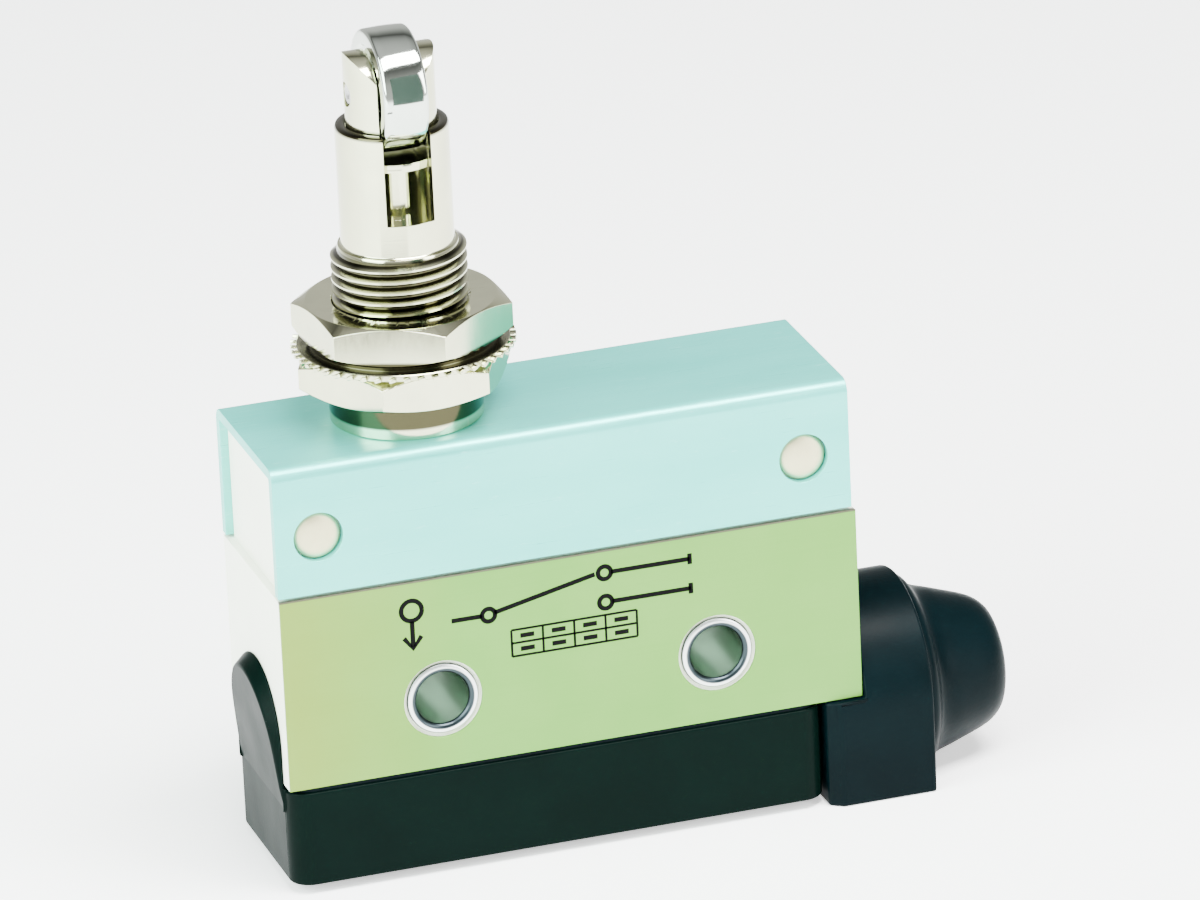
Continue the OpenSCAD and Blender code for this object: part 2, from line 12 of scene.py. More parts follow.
import bmesh
import bpy
from mathutils import Matrix, Vector


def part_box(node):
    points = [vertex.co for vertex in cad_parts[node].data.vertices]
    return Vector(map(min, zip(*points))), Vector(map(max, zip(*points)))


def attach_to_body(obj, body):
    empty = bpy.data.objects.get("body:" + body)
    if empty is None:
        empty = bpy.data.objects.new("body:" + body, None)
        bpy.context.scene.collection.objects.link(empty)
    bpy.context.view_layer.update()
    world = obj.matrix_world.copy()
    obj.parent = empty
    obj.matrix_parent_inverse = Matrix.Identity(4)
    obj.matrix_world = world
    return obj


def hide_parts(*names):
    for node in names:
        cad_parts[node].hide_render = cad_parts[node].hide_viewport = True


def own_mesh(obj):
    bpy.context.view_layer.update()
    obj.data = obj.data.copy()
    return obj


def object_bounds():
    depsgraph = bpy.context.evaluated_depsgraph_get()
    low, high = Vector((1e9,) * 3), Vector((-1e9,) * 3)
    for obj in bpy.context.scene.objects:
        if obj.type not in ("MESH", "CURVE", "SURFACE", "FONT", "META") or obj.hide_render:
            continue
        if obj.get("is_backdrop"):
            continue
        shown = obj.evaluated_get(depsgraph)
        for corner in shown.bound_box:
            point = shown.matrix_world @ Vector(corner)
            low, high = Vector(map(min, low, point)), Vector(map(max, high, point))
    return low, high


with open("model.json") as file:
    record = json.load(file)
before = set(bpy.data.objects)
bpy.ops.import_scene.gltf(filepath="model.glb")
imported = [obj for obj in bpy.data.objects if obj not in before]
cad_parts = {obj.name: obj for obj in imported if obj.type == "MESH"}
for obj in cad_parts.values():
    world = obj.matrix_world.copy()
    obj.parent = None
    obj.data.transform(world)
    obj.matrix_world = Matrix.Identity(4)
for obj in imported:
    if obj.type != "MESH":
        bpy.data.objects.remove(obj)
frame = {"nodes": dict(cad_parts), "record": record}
cad_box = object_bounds()
MM = 0.001

# %% [markdown]
# ## Where things are
# The CAD model is the source of places. A box around a node gives its ends, and the middle of a box gives
# an axis. What a box can't tell, such as a bore inside a piece, is a named value where the piece is made.

# %% Read places from the frame
def low(node):
    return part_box(node)[0] / MM


def high(node):
    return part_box(node)[1] / MM


def middle(node):
    return (low(node) + high(node)) / 2


def mount(name):
    return next(m for m in frame["record"]["mounts"] if m["name"] == name)


head_x = middle("roller_pin").x
roller_z = middle("roller_pin").z
lip_r = (high("mounting_eyelets").z - low("mounting_eyelets").z) / 2
hole_x = high("mounting_eyelets").x - lip_r
hole_r = mount("mounting_holes")["dims"]["hole_r_mm"]
thread = mount("panel_thread")
thread_r = thread["dims"]["r_mm"]
RUN_OUT = 0.4
thread_top = thread["pos_m"][2] / MM + thread["dims"]["length_mm"] / 2 + RUN_OUT
print("head axis at x = %.2f mm, roller axis at z = %.2f mm" % (head_x, roller_z))
print("mounting holes %.1f mm apart, %.1f mm wide" % (2 * hole_x, 2 * hole_r))

# %% [markdown]
# ## Camera
# A long lens from the front left, a little above. The distance is large, so parallel edges stay nearly
# parallel. The camera is turned by its own right, up and back directions, which also holds the slight roll.

# %% Place the camera
CAM_AZIMUTH = math.radians(-17.06)
CAM_ELEVATION = math.radians(21.6)
CAM_ROLL = math.radians(-2.71)
CAM_DISTANCE = 900 * MM
CAM_ASIDE, CAM_RAISE = 4.38 * MM, 16.96 * MM

back = Vector((
    math.sin(CAM_AZIMUTH) * math.cos(CAM_ELEVATION),
    -math.cos(CAM_AZIMUTH) * math.cos(CAM_ELEVATION),
    math.sin(CAM_ELEVATION),
))
level = Vector((0, 0, 1)).cross(back).normalized()
right = (Matrix.Rotation(CAM_ROLL, 3, back) @ level).normalized()
up = back.cross(right)
camera = bpy.data.objects.new("camera", bpy.data.cameras.new("camera"))
camera.data.sensor_width = 36
camera.data.lens = 303.6
camera.data.clip_end = 10
place = back * CAM_DISTANCE + right * CAM_ASIDE + up * CAM_RAISE
camera.matrix_world = Matrix.Translation(place) @ Matrix((right, up, back)).transposed().to_4x4()
bpy.context.scene.collection.objects.link(camera)
bpy.context.scene.camera = camera
print("camera at", [round(c, 3) for c in place])

# %% [markdown]
# ## Helpers for meshes
# Most rigid pieces are made in one of three ways. A turned part is a profile spun round an axis. A moulded
# or bent part starts from the CAD shape, welded and cleaned so that its faces are large again, and gets
# rounded edges. What repeats is made once and set at its places by a node tree.

# %% Mesh helpers
def new_object(name, data):
    made = bpy.data.objects.new(name, data)
    bpy.context.scene.collection.objects.link(made)
    return made


def from_bmesh(name, bm):
    bmesh.ops.recalc_face_normals(bm, faces=bm.faces)
    mesh = bpy.data.meshes.new(name)
    bm.to_mesh(mesh)
    bm.free()
    return new_object(name, mesh)


def turned(name, profile, centre=(0, 0, 0), axis="Z", segments=128):
    """Spins (radius, height) points in mm round an axis through centre; the profile is a closed loop."""
    bm = bmesh.new()
    rings = []
    for k in range(segments):
        a = 2 * math.pi * k / segments
        rings.append([bm.verts.new((r * math.cos(a), r * math.sin(a), h)) for r, h in profile])
    count = len(profile)
    for k in range(segments):
        one, two = rings[k], rings[(k + 1) % segments]
        for i in range(count):
            j = (i + 1) % count
            on_axis = profile[i][0] == 0 and profile[j][0] == 0
            if not on_axis:
                bm.faces.new((one[i], two[i], two[j], one[j]))
    bmesh.ops.remove_doubles(bm, verts=bm.verts, dist=1e-5)
    quarter = math.pi / 2
    turn = {"Z": Matrix(), "X": Matrix.Rotation(quarter, 4, "Y"), "Y": Matrix.Rotation(-quarter, 4, "X")}
    shift = Matrix.Translation(Vector(centre))
    bmesh.ops.transform(bm, matrix=Matrix.Scale(MM, 4) @ shift @ turn[axis], verts=bm.verts)
    return from_bmesh(name, bm)


def arc(cx, cy, radius, start, stop, steps):
    """Points on an arc, angles in degrees."""
    angles = [math.radians(start + (stop - start) * k / steps) for k in range(steps + 1)]
    return [(cx + radius * math.cos(a), cy + radius * math.sin(a)) for a in angles]


def prism(name, outline, z0, z1):
    """A straight block over a flat outline of (x, y) points in mm."""
    bm = bmesh.new()
    rings = [[bm.verts.new((x * MM, y * MM, z * MM)) for x, y in outline] for z in (z0, z1)]
    bm.faces.new(rings[0])
    bm.faces.new(rings[1])
    for i in range(len(outline)):
        j = (i + 1) % len(outline)
        bm.faces.new((rings[0][i], rings[0][j], rings[1][j], rings[1][i]))
    return from_bmesh(name, bm)


def rectangle(x0, x1, half):
    """The corners of a rectangle from x0 to x1 and from -half to half."""
    return [(x0, -half), (x1, -half), (x1, half), (x0, half)]


def cad_copy(name, node):
    """A welded copy of a CAD node, its flat faces made whole again."""
    bm = bmesh.new()
    bm.from_mesh(frame["nodes"][node].data)
    bmesh.ops.remove_doubles(bm, verts=bm.verts, dist=2e-6)
    bmesh.ops.dissolve_limit(bm, angle_limit=math.radians(0.4), verts=bm.verts, edges=bm.edges)
    return from_bmesh(name, bm)


def evaluated(piece):
    """The mesh that the piece's modifiers make of it."""
    bpy.context.view_layer.update()
    graph = bpy.context.evaluated_depsgraph_get()
    return bpy.data.meshes.new_from_object(piece.evaluated_get(graph), depsgraph=graph)


def settle(piece):
    """Turns the piece and its modifiers into one plain mesh."""
    mesh = evaluated(piece)
    piece.modifiers.clear()
    piece.data = mesh
    return piece


def cut(piece, tool, how="DIFFERENCE"):
    """Takes the tool away from the piece, or keeps what both share, or adds it."""
    step = piece.modifiers.new("cut", "BOOLEAN")
    step.operation = how
    step.solver = "EXACT"
    step.object = tool
    settle(piece)
    bpy.data.objects.remove(tool)
    return piece


def rounded(piece, width, segments=3, angle=32, clamp=True):
    """Rounds every edge sharper than angle, and keeps the large faces flat in shading."""
    edge = piece.modifiers.new("round", "BEVEL")
    edge.width = width * MM
    edge.segments = segments
    edge.limit_method = "ANGLE"
    edge.angle_limit = math.radians(angle)
    edge.miter_outer = "MITER_ARC"
    edge.use_clamp_overlap = clamp
    settle(piece)
    return smooth(piece)


def smooth(piece, angle=38):
    piece.data.polygons.foreach_set("use_smooth", [True] * len(piece.data.polygons))
    piece.data.set_sharp_from_angle(angle=math.radians(angle))
    normals = piece.modifiers.new("flat faces stay flat", "WEIGHTED_NORMAL")
    normals.keep_sharp = True
    return settle(piece)


def joined(name, *parts):
    """One object from several, in their places."""
    bm = bmesh.new()
    for part in parts:
        bm.from_mesh(part.data)
    mesh = bpy.data.meshes.new(name)
    bm.to_mesh(mesh)
    bm.free()
    for part in parts:
        bpy.data.objects.remove(part)
    return new_object(name, mesh)


def dress(piece, material, body, slot, *nodes):
    """Gives a piece its finish and its body, and hides the CAD nodes that it stands for."""
    piece.data.materials.clear()
    piece.data.materials.append(material)
    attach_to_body(piece, body)
    if nodes:
        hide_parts(*nodes)
    print("%-20s %6d faces on %s" % (piece.name, len(piece.data.polygons), body))
    return piece


def from_cad(name, node, material, slot, edge, body="housing", segments=3, clamp=True):
    """A piece with its CAD node's own shape and rounded edges."""
    return dress(rounded(cad_copy(name, node), edge, segments, clamp=clamp), material, body, slot, node)

# %% [markdown]
# ## Helper for node trees
# A material and a geometry tree are both graphs of nodes. One call here makes a node, sets its plain inputs
# and links the others, so a tree reads from top to bottom like the steps of a recipe.

# %% Node helper
def fill(tree, socket, value):
    """Links a socket to an input, or sets the input to a plain value."""
    if isinstance(value, bpy.types.NodeSocket):
        tree.links.new(value, socket)
    else:
        socket.default_value = value


def add(tree, kind, inputs=None, **settings):
    """A new node; inputs maps an input's name or number to a socket or a plain value."""
    node = tree.nodes.new(kind)
    for name, value in settings.items():
        setattr(node, name, value)
    for key, value in (inputs or {}).items():
        fill(tree, node.inputs[key], value)
    return node

# %% [markdown]
# ## Helpers for finishes
# Each finish is a small node tree on object coordinates, which are metres here, so a scale of 1000 makes
# detail one millimetre wide. Two things sell a finish: a little variation of colour over the whole piece,
# and fine relief at the size that the real process leaves, such as turning rings, roller lines or the
# texture of a mould.

# %% Finish helpers
class Finish:
    """A material and short ways to add nodes to it."""

    def __init__(self, name, colour, metallic, roughness):
        self.material = bpy.data.materials.new(name)
        self.material.use_nodes = True
        self.tree = self.material.node_tree
        self.shader = self.tree.nodes["Principled BSDF"]
        self.set("Base Color", (*colour, 1))
        self.set("Metallic", metallic)
        self.set("Roughness", roughness)
        self.coords = self.add("ShaderNodeTexCoord").outputs["Object"]

    def set(self, name, value):
        """Gives an input of the shader a plain value or a socket."""
        fill(self.tree, self.shader.inputs[name], value)

    def add(self, kind, inputs=None, **settings):
        return add(self.tree, kind, inputs, **settings)

    def along(self, axis):
        """The place along one axis."""
        return self.add("ShaderNodeSeparateXYZ", {"Vector": self.coords}).outputs[axis]

    def noise(self, scale, detail=3, rough=0.5):
        """Noise whose features are 1 / scale wide, in metres; scale is one number or one for each axis."""
        per_axis = scale if isinstance(scale, tuple) else (scale,) * 3
        placed = self.add("ShaderNodeMapping", {"Vector": self.coords, "Scale": per_axis}).outputs["Vector"]
        look = {"Vector": placed, "Scale": 1, "Detail": detail, "Roughness": rough}
        return self.add("ShaderNodeTexNoise", look).outputs["Fac"]

    def spread(self, value, low_value, high_value, start=0.3, stop=0.7):
        """Maps the stretch from start to stop of a value to a range, and cuts off what lies beyond."""
        ends = {"From Min": start, "From Max": stop, "To Min": low_value, "To Max": high_value}
        return self.add("ShaderNodeMapRange", {"Value": value, **ends}).outputs["Result"]

    def step(self, value, place, soft, falling=False):
        """0 before a place and 1 beyond it, or the other way round, with a soft change; places in mm."""
        first, last = (1, 0) if falling else (0, 1)
        return self.spread(value, first, last, start=(place - soft) * MM, stop=(place + soft) * MM)

    def band(self, start, stop, soft=0.12, axis="Z"):
        """1 between two places (mm) on an axis and 0 outside."""
        along = self.along(axis)
        return self.product(self.step(along, start, soft), self.step(along, stop, soft, falling=True))

    def radius_from(self, vector, centre):
        """Distance of a vector socket from a centre (mm) in the vector's first two directions."""
        shift = (-centre[0] * MM, -centre[1] * MM, 0)
        parts = {0: vector, 1: (1, 1, 0), 2: shift}
        flat = self.add("ShaderNodeVectorMath", parts, operation="MULTIPLY_ADD")
        length = self.add("ShaderNodeVectorMath", {0: flat.outputs["Vector"]}, operation="LENGTH")
        return length.outputs["Value"]

    def inside(self, axis_x, radius, soft=0.15):
        """1 nearer than radius (mm) to the upright axis at axis_x, 0 beyond it."""
        return self.step(self.radius_from(self.coords, (axis_x, 0)), radius, soft, falling=True)

    def product(self, first, second):
        return self.add("ShaderNodeMath", {0: first, 1: second}, operation="MULTIPLY").outputs[0]

    def mix(self, factor, first, second):
        """Mixes two colours by a factor socket; a colour is a socket or three numbers."""
        pair = [(*colour, 1) if isinstance(colour, tuple) else colour for colour in (first, second)]
        return self.add("ShaderNodeMix", {0: factor, 6: pair[0], 7: pair[1]}, data_type="RGBA").outputs[2]

    def done(self, tone, roughness, *bumps):
        """The finished material; each bump is (height socket, depth in mm), one over another."""
        self.set("Base Color", tone)
        self.set("Roughness", roughness)
        below = {}
        for height, depth in bumps:
            look = {"Height": height, "Distance": depth * MM, "Strength": 1}
            bump = self.add("ShaderNodeBump", {**look, **below})
            below = {"Normal": bump.outputs["Normal"]}
        self.set("Normal", below["Normal"])
        return self.material


# Colours of painted shade: for crevices and joints, and for the thread's grooves.
SHADE_COLOUR = (0.045, 0.042, 0.022)
GROOVE_SHADE_COLOUR = (0.042, 0.040, 0.022)


def shade(colour, factor):
    return tuple(min(1.0, c * factor) for c in colour)


def spotted(f, colour, spots, clouds):
    """A colour that changes a little, by the share in spots, from cloud to cloud."""
    return f.mix(f.spread(clouds, 0, 1), shade(colour, 1 - spots), shade(colour, 1 + spots))


def plated(name, colour, roughness, grain, grain_depth, spots=0.06, dull=(), grooves=None):
    """Plated or bare metal; grain is the noise scale, and a low one on an axis draws the grain out.

    The shade bands are pairs (z0, z1) in mm: between them the metal gets painted shade, dark as in a
    crevice
    that no light reaches. grooves is (z0, z1, axis x, radius): within these heights painted shade darkens
    the metal inside the radius, in the thread's grooves."""
    f = Finish(name, colour, 1.0, roughness)
    streaks = f.noise(grain, detail=4, rough=0.6)
    tone = spotted(f, colour, spots, f.noise(260))
    # Painted shade: the metal is painted dark within each band.
    for pair in dull:
        tone = f.mix(f.band(*pair), tone, SHADE_COLOUR)
    # Painted shade in the thread's grooves: within the heights, the metal inside the radius is painted
    # dark.
    if grooves:
        z0, z1, axis_x, radius = grooves
        tone = f.mix(f.product(f.band(z0, z1), f.inside(axis_x, radius)), tone, GROOVE_SHADE_COLOUR)
    return f.done(tone, f.spread(streaks, roughness * 0.88, roughness * 1.15), (streaks, grain_depth))


def moulded(name, colour, roughness, texture, depth, spots=0.05, gloss=0.5, dull=None):
    """Moulded plastic or rubber with the fine texture of its mould.

    The shade band is a pair (z0, z1) in mm: between them the front gets painted shade, dark as at a seam."""
    f = Finish(name, colour, 0.0, roughness)
    f.set("Specular IOR Level", gloss)
    skin = f.noise(texture, detail=2, rough=0.4)
    clouds = f.noise(170, detail=4)
    tone = spotted(f, colour, spots, clouds)
    # Painted shade: the front face is painted dark within the band, as in the seam under the channel.
    if dull:
        front_y = low("case_plate").y
        front = f.band(front_y - 1, front_y + 0.2, axis="Y")
        tone = f.mix(f.product(f.band(*dull), front), tone, SHADE_COLOUR)
    rough = f.spread(clouds, roughness * 0.9, roughness * 1.12)
    return f.done(tone, rough, (skin, depth), (clouds, depth * 3))

# %% [markdown]
# ## The finishes
# Nickel plate on the head is bright, with rings from the lathe under it. The channel is aluminium sheet
# with lines along its length from rolling. The foil of the nameplate is satin, and warmer at one end.
# Little light gets in where parts meet or in grooves; painted shade goes there, so joints read clearly.

# %% Make the finishes
TURNED = (60, 60, 9000)
MILLED = (2500, 2500, 700)
ALONG_X = (90, 6000, 6000)
RINGS, LINES = 0.0012, 0.0003

NICKEL = (0.58, 0.59, 0.40)
# Heights of painted shade: the collar under the lower nut, the sleeve's top rim, the upper nut's bottom
# edge, the washer's top, and the thread's grooves inside the given radius.
collar_shade = (high("top_channel").z + 0.95, low("lock_nut_lower").z)
tip_shade = (high("guide_bush").z - 0.34, high("guide_bush").z + 1)
nut_shade = (low("lock_nut_upper").z - 1, low("lock_nut_upper").z + 0.4)
rim_shade = (low("lock_washer").z + 0.55, high("lock_washer").z + 1)
thread_zone = (high("lock_nut_lower").z, thread_top - 0.2, head_x, thread_r - 0.22)
bush_shades = {"dull": (collar_shade, tip_shade), "grooves": thread_zone}
nickel_turned = plated("nickel_turned", NICKEL, 0.13, TURNED, RINGS)
nickel_bush = plated("nickel_bush", NICKEL, 0.13, TURNED, RINGS, **bush_shades)
nickel_washer = plated("nickel_washer", NICKEL, 0.20, TURNED, RINGS, dull=(rim_shade,))
nickel_milled = plated("nickel_milled", NICKEL, 0.10, MILLED, LINES)
nickel_nut = plated("nickel_nut", NICKEL, 0.10, MILLED, LINES, dull=(nut_shade,))
roller_nickel = plated("roller_nickel", (0.58, 0.63, 0.57), 0.07, (9000, 40, 40), 0.0005)
rivet_metal = plated("rivet_metal", (0.62, 0.58, 0.36), 0.50, 1500, 0.0020)
spring_wire = plated("spring_wire", (0.46, 0.46, 0.46), 0.30, 700, 0.0010)
zinc_plate = plated("zinc_plate", (0.66, 0.67, 0.69), 0.32, 900, 0.0015)
strip_brass = plated("strip_brass", (0.76, 0.56, 0.26), 0.30, ALONG_X, 0.0012)
contact_silver = plated("contact_silver", (0.84, 0.84, 0.81), 0.24, 900, 0.0012)
clip_black = plated("clip_black", (0.10, 0.10, 0.11), 0.42, 900, 0.0015)

IVORY = (0.83, 0.86, 0.73)
BLACK, RUBBER = (0.0006, 0.0034, 0.0026), (0.0004, 0.0028, 0.0036)
# Painted shade on the front plate, in the seam between the nameplate's top and the channel.
seam_shade = (high("nameplate").z - 0.1, low("top_channel").z + 0.3)
ivory = moulded("ivory", IVORY, 0.42, 5200, 0.004, spots=0.03)
ivory_plate = moulded("ivory_plate", IVORY, 0.42, 5200, 0.004, spots=0.03, dull=seam_shade)
black_plastic = moulded("black_plastic", BLACK, 0.36, 4200, 0.006, spots=0.12, gloss=0.02)
black_rubber = moulded("black_rubber", RUBBER, 0.38, 2600, 0.010, spots=0.20, gloss=0.03)
button_red = moulded("button_red", (0.50, 0.05, 0.04), 0.34, 4200, 0.004)
ink = moulded("ink", (0.002, 0.002, 0.002), 0.60, 3000, 0.002, gloss=0.03)


def make_channel_sheet():
    """Rolled aluminium sheet: long fine lines, a few scuffs and a cool cast."""
    f = Finish("channel_sheet", (0.19, 0.53, 0.50), 0.50, 0.40)
    lines = f.noise(ALONG_X, detail=5, rough=0.65)
    clouds = f.noise((60, 200, 200))
    scuffs = f.noise((380, 2400, 1900), detail=6, rough=0.7)
    worn = f.spread(scuffs, 0, 1, start=0.60, stop=0.72)
    base = f.mix(f.spread(clouds, 0, 1), (0.050, 0.48, 0.415), (0.072, 0.54, 0.47))
    tone = f.mix(worn, base, (0.15, 0.57, 0.52))
    return f.done(tone, f.spread(lines, 0.26, 0.44), (lines, 0.0022), (worn, 0.002))


def make_nameplate_foil():
    """Satin champagne foil, warm at the left end and greener toward the middle, with painted shade on its
    top edge.
    """
    f = Finish("nameplate_foil", (0.44, 0.47, 0.20), 0.35, 0.42)
    half_length = 26 * MM
    run = f.spread(f.along("X"), 0, 1, start=-half_length, stop=-half_length * 0.4)
    tone = f.mix(run, (0.130, 0.200, 0.012), (0.078, 0.228, 0.021))
    brush = f.noise((120, 5200, 5200), detail=4, rough=0.6)
    tone = f.mix(f.spread(f.noise(110), 0, 0.3), tone, (0.13, 0.27, 0.045))
    # Painted shade along the top edge, where the foil meets the channel.
    top = high("nameplate").z
    tone = f.mix(f.band(top - 0.14, top + 1, soft=0.04), tone, SHADE_COLOUR)
    return f.done(tone, f.spread(brush, 0.36, 0.50), (brush, 0.0012))


def make_eyelet_steel():
    """Bright lip; painted shade makes a dark ring where the metal turns into the hole, a dark outer edge
    and a dim bore.
    """
    f = Finish("eyelet_steel", (0.46, 0.50, 0.50), 1.0, 0.27)
    side = f.add("ShaderNodeMath", {0: f.along("X")}, operation="ABSOLUTE").outputs[0]
    flat = f.add("ShaderNodeCombineXYZ", {"X": side, "Y": f.along("Z")}).outputs["Vector"]
    radius = f.radius_from(flat, (hole_x, 0))
    # Painted shade: the ring inside the lip, the lip's outer edge and the bore are painted darker than the
    # lip.
    ring = f.step(radius, hole_r + 0.47, 0.05, falling=True)
    edge = f.step(radius, lip_r - 0.10, 0.04)
    bore = f.step(radius, hole_r + 0.02, 0.01, falling=True)
    tone = f.mix(ring, (0.74, 0.76, 0.76), (0.03, 0.04, 0.045))
    tone = f.mix(edge, tone, (0.05, 0.06, 0.055))
    tone = f.mix(bore, tone, (0.30, 0.42, 0.33))
    clouds = f.noise(400)
    return f.done(tone, f.spread(clouds, 0.28, 0.32), (clouds, 0.0004))


channel_sheet = make_channel_sheet()
nameplate_foil = make_nameplate_foil()
eyelet_steel = make_eyelet_steel()
print("finishes:", len(bpy.data.materials))

# %% [markdown]
# ## Case, front plate, nameplate and channel
# The ivory case is a moulded shell, closed at the front by a plate. Both start from the CAD shape, because
# every pocket and seat in them fits another piece, and their edges are rounded as a mould rounds them.
# The channel is bent sheet: its long edges are already round, and only its cut edges are broken.

# %% Case and sheet parts
from_cad("case_shell", "case", ivory, "case_plastic", 0.18)
from_cad("front_plate", "case_plate", ivory_plate, "case_plastic", 0.14)
from_cad("nameplate_sheet", "nameplate", nameplate_foil, "nameplate_foil", 0.06, segments=2)
from_cad("channel_sheet", "top_channel", channel_sheet, "channel_aluminium", 0.09)

# %% [markdown]
# ## Terminal cover and gasket
# The black tray under the case has a latch at its left end, and a thin gasket lies in its seam. Both keep
# the CAD shape, with the small round edges that a mould gives.

# %% Black parts
from_cad("cover_tray", "terminal_cover", black_plastic, "black_plastic", 0.22, clamp=False)
from_cad("gasket_frame", "cover_gasket", black_rubber, "black_rubber", 0.08, segments=2)

# %% [markdown]
# ## Boot
# The boot is one piece of rubber: a base with a flat bottom and a round top, and a cone that flows out of
# it. The base is a block along X, kept where a plan with slanted leads covers it. The cone is turned from a
# smooth line through a few points. Both are made one, and then the seat, the neck hole and the cable
# opening are cut. Rubber edges are much rounder than those of hard plastic.

# %% Boot: base, cone and bores
def x_prism(name, outline, x0, x1):
    """A straight block along X over an outline of (y, z) points in mm."""
    made = prism(name, outline, x0, x1)
    made.data.transform(Matrix(((0, 0, 1, 0), (1, 0, 0, 0), (0, 1, 0, 0), (0, 0, 0, 1))))
    return made


def flowing(points, steps=5):
    """A smooth line through points, after Catmull and Rom."""
    ends = [points[0], *points, points[-1]]
    line = []
    for a, b, c, d in zip(ends, ends[1:], ends[2:], ends[3:]):
        for k in range(steps):
            t = k / steps
            weights = ((-t + 2 * t**2 - t**3) / 2, (2 - 5 * t**2 + 3 * t**3) / 2,
                       (t + 4 * t**2 - 3 * t**3) / 2, (-(t**2) + t**3) / 2)
            line.append(tuple(sum(w * q[i] for w, q in zip(weights, (a, b, c, d))) for i in (0, 1)))
    return line + [points[-1]]


boot_lo, boot_hi = low("cable_boot"), high("cable_boot")
entry = mount("cable_entry")
entry_z, entry_r = entry["pos_m"][2] / MM, entry["dims"]["r_mm"]
BASE_L, LEAD_L, LEAD_IN, PLAY, WIDE = 10.0, 1.2, 0.8, 0.1, 12
NECK_R, NECK_Z, NECK_PLAY = 4.2, -11.1, 1.2
base_end = boot_lo.x + BASE_L
half_w = boot_hi.y
outline = [(-half_w, boot_lo.z), (half_w, boot_lo.z)] + arc(0, boot_hi.z - half_w, half_w, 0, 180, 72)
half_plan = [(boot_lo.x, -half_w + LEAD_IN), (boot_lo.x + LEAD_L, -half_w), (base_end, -half_w)]
plan = half_plan + [(x, -y) for x, y in reversed(half_plan)]
seat_x0, seat_x1 = boot_lo.x - 1, high("case_plate").x + PLAY
boot = x_prism("rubber_boot", outline, boot_lo.x, base_end)
cut(boot, prism("plan", plan, boot_lo.z - 1, boot_hi.z + 1), "INTERSECT")
cut(boot, prism("seat", rectangle(seat_x0, seat_x1, WIDE), low("case_plate").z - PLAY, boot_hi.z + 1))
rounded(boot, 0.28, segments=4, clamp=False)

shoulder = [(9.2, base_end - 1), (9.2, base_end + 0.1), (8.85, base_end + 0.75), (8.1, base_end + 1.3)]
taper = [(7.65, base_end + 2.1), (7.25, base_end + 3.4), (6.75, base_end + 4.9)]
nose = [(6.2, boot_hi.x - 2.2), (5.65, boot_hi.x - 1.1), (4.95, boot_hi.x - 0.35), (4.2, boot_hi.x)]
side = flowing(shoulder + taper + nose)
cone = turned("cone", [(0, base_end - 1)] + side + [(0, boot_hi.x)], (0, 0, entry_z), "X")
cut(cone, x_prism("outline", outline, base_end - 2, boot_hi.x + 1), "INTERSECT")
cut(boot, cone, "UNION")
neck_from, neck_to = boot_lo.x - 1, high("terminal_cover").x + NECK_PLAY
neck = [(0, neck_from), (NECK_R, neck_from), (NECK_R, neck_to), (0, neck_to)]
cut(boot, turned("neck", neck, (0, 0, NECK_Z), "X"))
LIP = 0.4
bore_from = boot_hi.x - entry["dims"]["length_mm"]
mouth = arc(entry_r + LIP, boot_hi.x - LIP, LIP, 180, 90, 5)
bore = [(0, bore_from), (entry_r, bore_from)] + mouth + [(entry_r + LIP, boot_hi.x + 1), (0, boot_hi.x + 1)]
cut(boot, turned("bore", bore, (0, 0, entry_z), "X"))
dress(smooth(boot), black_rubber, "housing", "black_rubber", "cable_boot")

# %% [markdown]
# ## Setting a part at several places
# Eyelets and rivet heads repeat. One is made, and a node tree sets it on the points of a small mesh. Each
# point carries the turn of its copy as an attribute, so the same head serves both faces.

# %% A node tree that sets copies at places
def socket_id(tree, name):
    """A modifier's input is set by its identifier, which is looked up from its name."""
    return next(i.identifier for i in tree.interface.items_tree if i.name == name and i.in_out == "INPUT")


def new_tree(name, **inputs):
    """An empty geometry tree and its input sockets; each input is name=type."""
    tree = bpy.data.node_groups.new(name, "GeometryNodeTree")
    tree.interface.new_socket("Geometry", in_out="INPUT", socket_type="NodeSocketGeometry")
    for label, kind in inputs.items():
        tree.interface.new_socket(label, in_out="INPUT", socket_type="NodeSocket" + kind)
    tree.interface.new_socket("Geometry", in_out="OUTPUT", socket_type="NodeSocketGeometry")
    return tree, tree.nodes.new("NodeGroupInput").outputs


def finish_tree(tree, geometry, given):
    """Ends a tree: instances made real, then the material set."""
    real = add(tree, "GeometryNodeRealizeInstances", {"Geometry": geometry}).outputs["Geometry"]
    painted = add(tree, "GeometryNodeSetMaterial", {"Geometry": real, "Material": given["Material"]})
    add(tree, "NodeGroupOutput", {"Geometry": painted.outputs["Geometry"]})
    return tree


def set_on_points(tree, points, instance, angles, given):
    """Ends a tree with copies of an instance on points, each turned by its own angles."""
    rotation = add(tree, "FunctionNodeEulerToRotation", {"Euler": angles}).outputs["Rotation"]
    parts = {"Points": points, "Instance": instance, "Rotation": rotation}
    copies = add(tree, "GeometryNodeInstanceOnPoints", parts)
    return finish_tree(tree, copies.outputs["Instances"], given)


def attach(piece, tree, **values):
    """Puts the tree on the piece with these inputs."""
    step = piece.modifiers.new(tree.name, "NODES")
    step.node_group = tree
    for name, value in values.items():
        step[socket_id(tree, name)] = value
    return piece


def grown(name, tree, **values):
    """A piece that a tree makes from its inputs alone."""
    return settle(attach(new_object(name, bpy.data.meshes.new(name)), tree, **values))


def make_places_tree():
    tree, given = new_tree("set_at_places", Master="Object", Material="Material")
    source = add(tree, "GeometryNodeObjectInfo", {"Object": given["Master"]}).outputs["Geometry"]
    turn = add(tree, "GeometryNodeInputNamedAttribute", {"Name": "turn"}, data_type="FLOAT_VECTOR")
    return set_on_points(tree, given["Geometry"], source, turn.outputs["Attribute"], given)


places_tree = make_places_tree()


